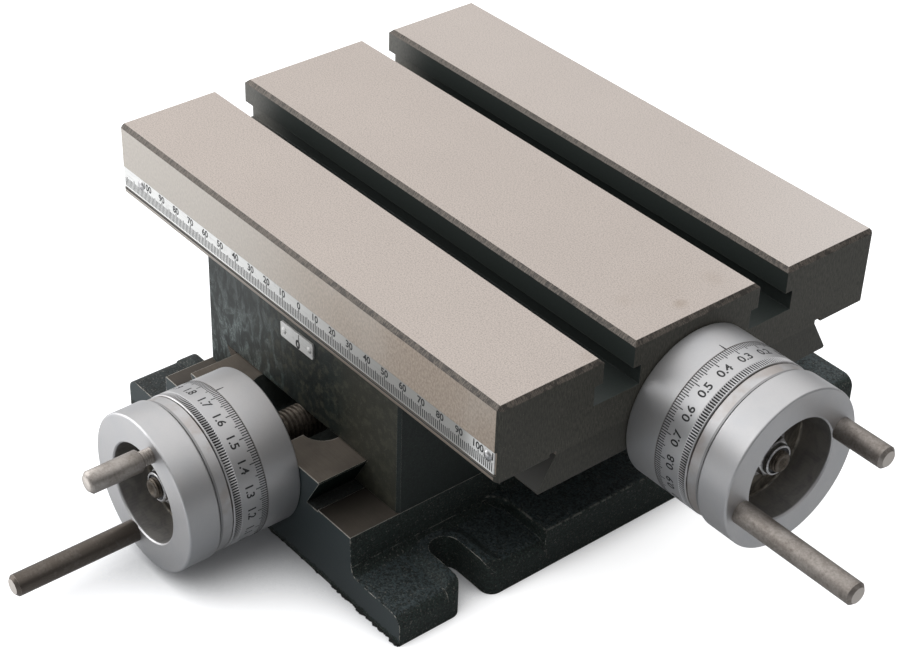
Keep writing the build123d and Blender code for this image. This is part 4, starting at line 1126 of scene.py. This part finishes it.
def make_camera(sizes):
    """The camera, turned by its azimuth, elevation and roll."""
    azimuth, elevation, roll = sizes.azimuth, sizes.elevation, sizes.roll
    right = Vector((math.cos(azimuth), math.sin(azimuth), 0))
    ahead = Vector((-math.sin(azimuth) * math.cos(elevation), math.cos(azimuth) * math.cos(elevation),
                    -math.sin(elevation)))
    up = right.cross(ahead)
    rolled_right = right * math.cos(roll) + up * math.sin(roll)
    rolled_up = up * math.cos(roll) - right * math.sin(roll)
    data = bpy.data.cameras.new("camera")
    data.sensor_width = 36
    data.lens = sizes.lens
    data.shift_x, data.shift_y = sizes.shift
    camera = add_object("camera", data)
    turn = Matrix((rolled_right, rolled_up, -ahead)).transposed().to_4x4()
    camera.matrix_world = Matrix.Translation(sizes.place) @ turn
    bpy.context.scene.camera = camera


def make_lamp(sizes):
    """A square soft lamp at the left, which points at the table."""
    data = bpy.data.lights.new("side", "AREA")
    data.size = sizes.side_size
    data.energy = sizes.side_power
    lamp = add_object("side", data)
    place = Vector(sizes.side_place)
    toward = Vector(sizes.side_aim) - place
    lamp.matrix_world = Matrix.Translation(place) @ toward.to_track_quat("-Z", "Y").to_matrix().to_4x4()


def seen_by(recipe, kind):
    """One for rays of the given kind."""
    return recipe.node("ShaderNodeLightPath", output=f"Is {kind} Ray")


def make_floor(size):
    """A pale floor that the camera sees as white, but for soft shadows close to the table.

    It sends less light back in front of the table, and steel reflects a glow from past the base's wheel.
    """
    places = [(x * size, y * size, -0.1 * MM) for x, y in ((-1, -1), (1, -1), (1, 1), (-1, 1))]
    mesh = bpy.data.meshes.new("floor")
    mesh.from_pydata(places, [], [(0, 1, 2, 3)])
    recipe = Recipe(bpy.data.materials.new("floor"))
    camera, glossy = seen_by(recipe, "Camera"), seen_by(recipe, "Glossy")
    x, y, _ = recipe.where()
    before = y.ramp(-0.10, -0.18) * x.ramp(-0.04, 0.06)
    bounced = recipe.mix(before, (0.64, 0.65, 0.66), (0.40, 0.42, 0.44))
    tone = recipe.mix(camera, bounced, (0.49, 0.50, 0.52))
    diffuse = recipe.node("ShaderNodeBsdfDiffuse", None, {"Color": tone})
    opened = recipe.openness(0.07, samples=16)
    ahead = y.ramp(-0.17, -0.27, 0.0, 0.85) * x.ramp(0.02, -0.04, 0.3, 1.0)
    strength = camera * opened.ramp(0.15, 0.85, 0.0, 0.95) + glossy * ahead
    glow = recipe.node("ShaderNodeEmission", None, {"Color": (1, 1, 1, 1), "Strength": strength})
    both = recipe.node("ShaderNodeAddShader", None, {0: diffuse, 1: glow})
    recipe.node("ShaderNodeOutputMaterial", None, {"Surface": both})
    mesh.materials.append(recipe.owner)
    add_object("floor", mesh)


def make_world():
    """Soft light from above and a little from the left, seen as white by the camera."""
    world = bpy.data.worlds.new("surroundings")
    recipe = Recipe(world)
    camera = seen_by(recipe, "Camera")
    toward = recipe.node("ShaderNodeTexCoord", output="Generated")
    raised = recipe.agreement(toward, (-0.33, 0.05, 0.94))
    strength = camera + (1 - camera) * raised.ramp(0.0, 0.9, 0.06, 1.28)
    background = recipe.node("ShaderNodeBackground", None, {"Color": (1, 1, 1, 1), "Strength": strength})
    recipe.node("ShaderNodeOutputWorld", None, {"Surface": background})
    bpy.context.scene.world = world


class TableOperator:
    """What the operators share."""

    bl_options = {"REGISTER", "UNDO"}

    def execute(self, context):
        self.make(context.scene)
        return {"FINISHED"}


class SLIDE_OT_leadscrews(TableOperator, bpy.types.Operator):
    """Cut the threads of the two leadscrews"""

    bl_idname = "slide.leadscrews"
    bl_label = "Leadscrews"

    def make(self, scene):
        for name, hand in (("x", 1), ("y", -1)):
            make_leadscrew(AXES[name], scene.thread_sizes, hand)


class SLIDE_OT_dials(TableOperator, bpy.types.Operator):
    """Knurl and mark the two dial rings"""

    bl_idname = "slide.dials"
    bl_label = "Dial rings"

    def make(self, scene):
        sizes = scene.dial_sizes
        for name, zero in (("x", sizes.x_zero), ("y", sizes.y_zero)):
            make_dial(AXES[name], sizes)
            make_dial_marks(AXES[name], sizes, zero)


class SLIDE_OT_collar_marks(TableOperator, bpy.types.Operator):
    """Cut the index lines of the two collars"""

    bl_idname = "slide.collar_marks"
    bl_label = "Collar marks"

    def make(self, scene):
        sizes = scene.dial_sizes
        make_collar_mark(AXES["x"], sizes.x_index, "table")
        make_collar_mark(AXES["y"], sizes.y_index, "base")


class SLIDE_OT_scale(TableOperator, bpy.types.Operator):
    """Print the millimetre scale and the index plate"""

    bl_idname = "slide.scale"
    bl_label = "Scale and index"

    def make(self, scene):
        make_scale_marks(scene.scale_sizes)
        make_plate_marks(scene.scale_sizes)


class SLIDE_OT_short_handle(TableOperator, bpy.types.Operator):
    """Thread the backed-off short handle"""

    bl_idname = "slide.short_handle"
    bl_label = "Short handle"

    def make(self, scene):
        make_short_handle(scene.thread_sizes)


class SLIDE_OT_cast_flash(TableOperator, bpy.types.Operator):
    """Lay the ragged fin along the base's foot"""

    bl_idname = "slide.cast_flash"
    bl_label = "Cast flash"

    def make(self, scene):
        make_cast_flash()


class SLIDE_OT_finishes(TableOperator, bpy.types.Operator):
    """Paint, grind and turn the frame's own pieces"""

    bl_idname = "slide.finishes"
    bl_label = "Finishes"

    def make(self, scene):
        dress_nodes()


class SLIDE_OT_stage(TableOperator, bpy.types.Operator):
    """Set up the floor, lights and camera"""

    bl_idname = "slide.stage"
    bl_label = "Stage"

    def make(self, scene):
        sizes = scene.stage_sizes
        scene.view_settings.view_transform = "Standard"
        make_camera(sizes)
        make_floor(sizes.floor_size)
        make_world()
        make_lamp(sizes)


class SLIDE_PT_panel(bpy.types.Panel):
    """Sizes and steps of the cross slide table"""

    bl_idname = "SLIDE_PT_panel"
    bl_label = "Slide table"
    bl_space_type = "VIEW_3D"
    bl_region_type = "UI"
    bl_category = "Slide Table"

    def draw(self, context):
        for operator in OPERATORS:
            self.layout.operator(operator.bl_idname)
        for owner in GROUPS:
            sizes = getattr(context.scene, owner)
            box = self.layout.box()
            for name in sizes.bl_rna.properties.keys():
                if name not in ("rna_type", "name"):
                    box.prop(sizes, name)


GROUPS = {
    "dial_sizes": DialSizes,
    "thread_sizes": ThreadSizes,
    "scale_sizes": ScaleSizes,
    "finish_tones": FinishTones,
    "stage_sizes": StageSizes,
}
OPERATORS = (
    SLIDE_OT_stage,
    SLIDE_OT_finishes,
    SLIDE_OT_leadscrews,
    SLIDE_OT_dials,
    SLIDE_OT_collar_marks,
    SLIDE_OT_scale,
    SLIDE_OT_short_handle,
    SLIDE_OT_cast_flash,
)


def register():
    for kind in (*GROUPS.values(), *OPERATORS, SLIDE_PT_panel):
        bpy.utils.register_class(kind)
    for owner, kind in GROUPS.items():
        setattr(bpy.types.Scene, owner, PointerProperty(type=kind))


def unregister():
    for owner in GROUPS:
        delattr(bpy.types.Scene, owner)
    for kind in reversed((*GROUPS.values(), *OPERATORS, SLIDE_PT_panel)):
        bpy.utils.unregister_class(kind)


def main():
    """Runs every step in order."""
    register()
    for operator in OPERATORS:
        group, action = operator.bl_idname.split(".")
        getattr(getattr(bpy.ops, group), action)()


if __name__ == "__main__":
    main()
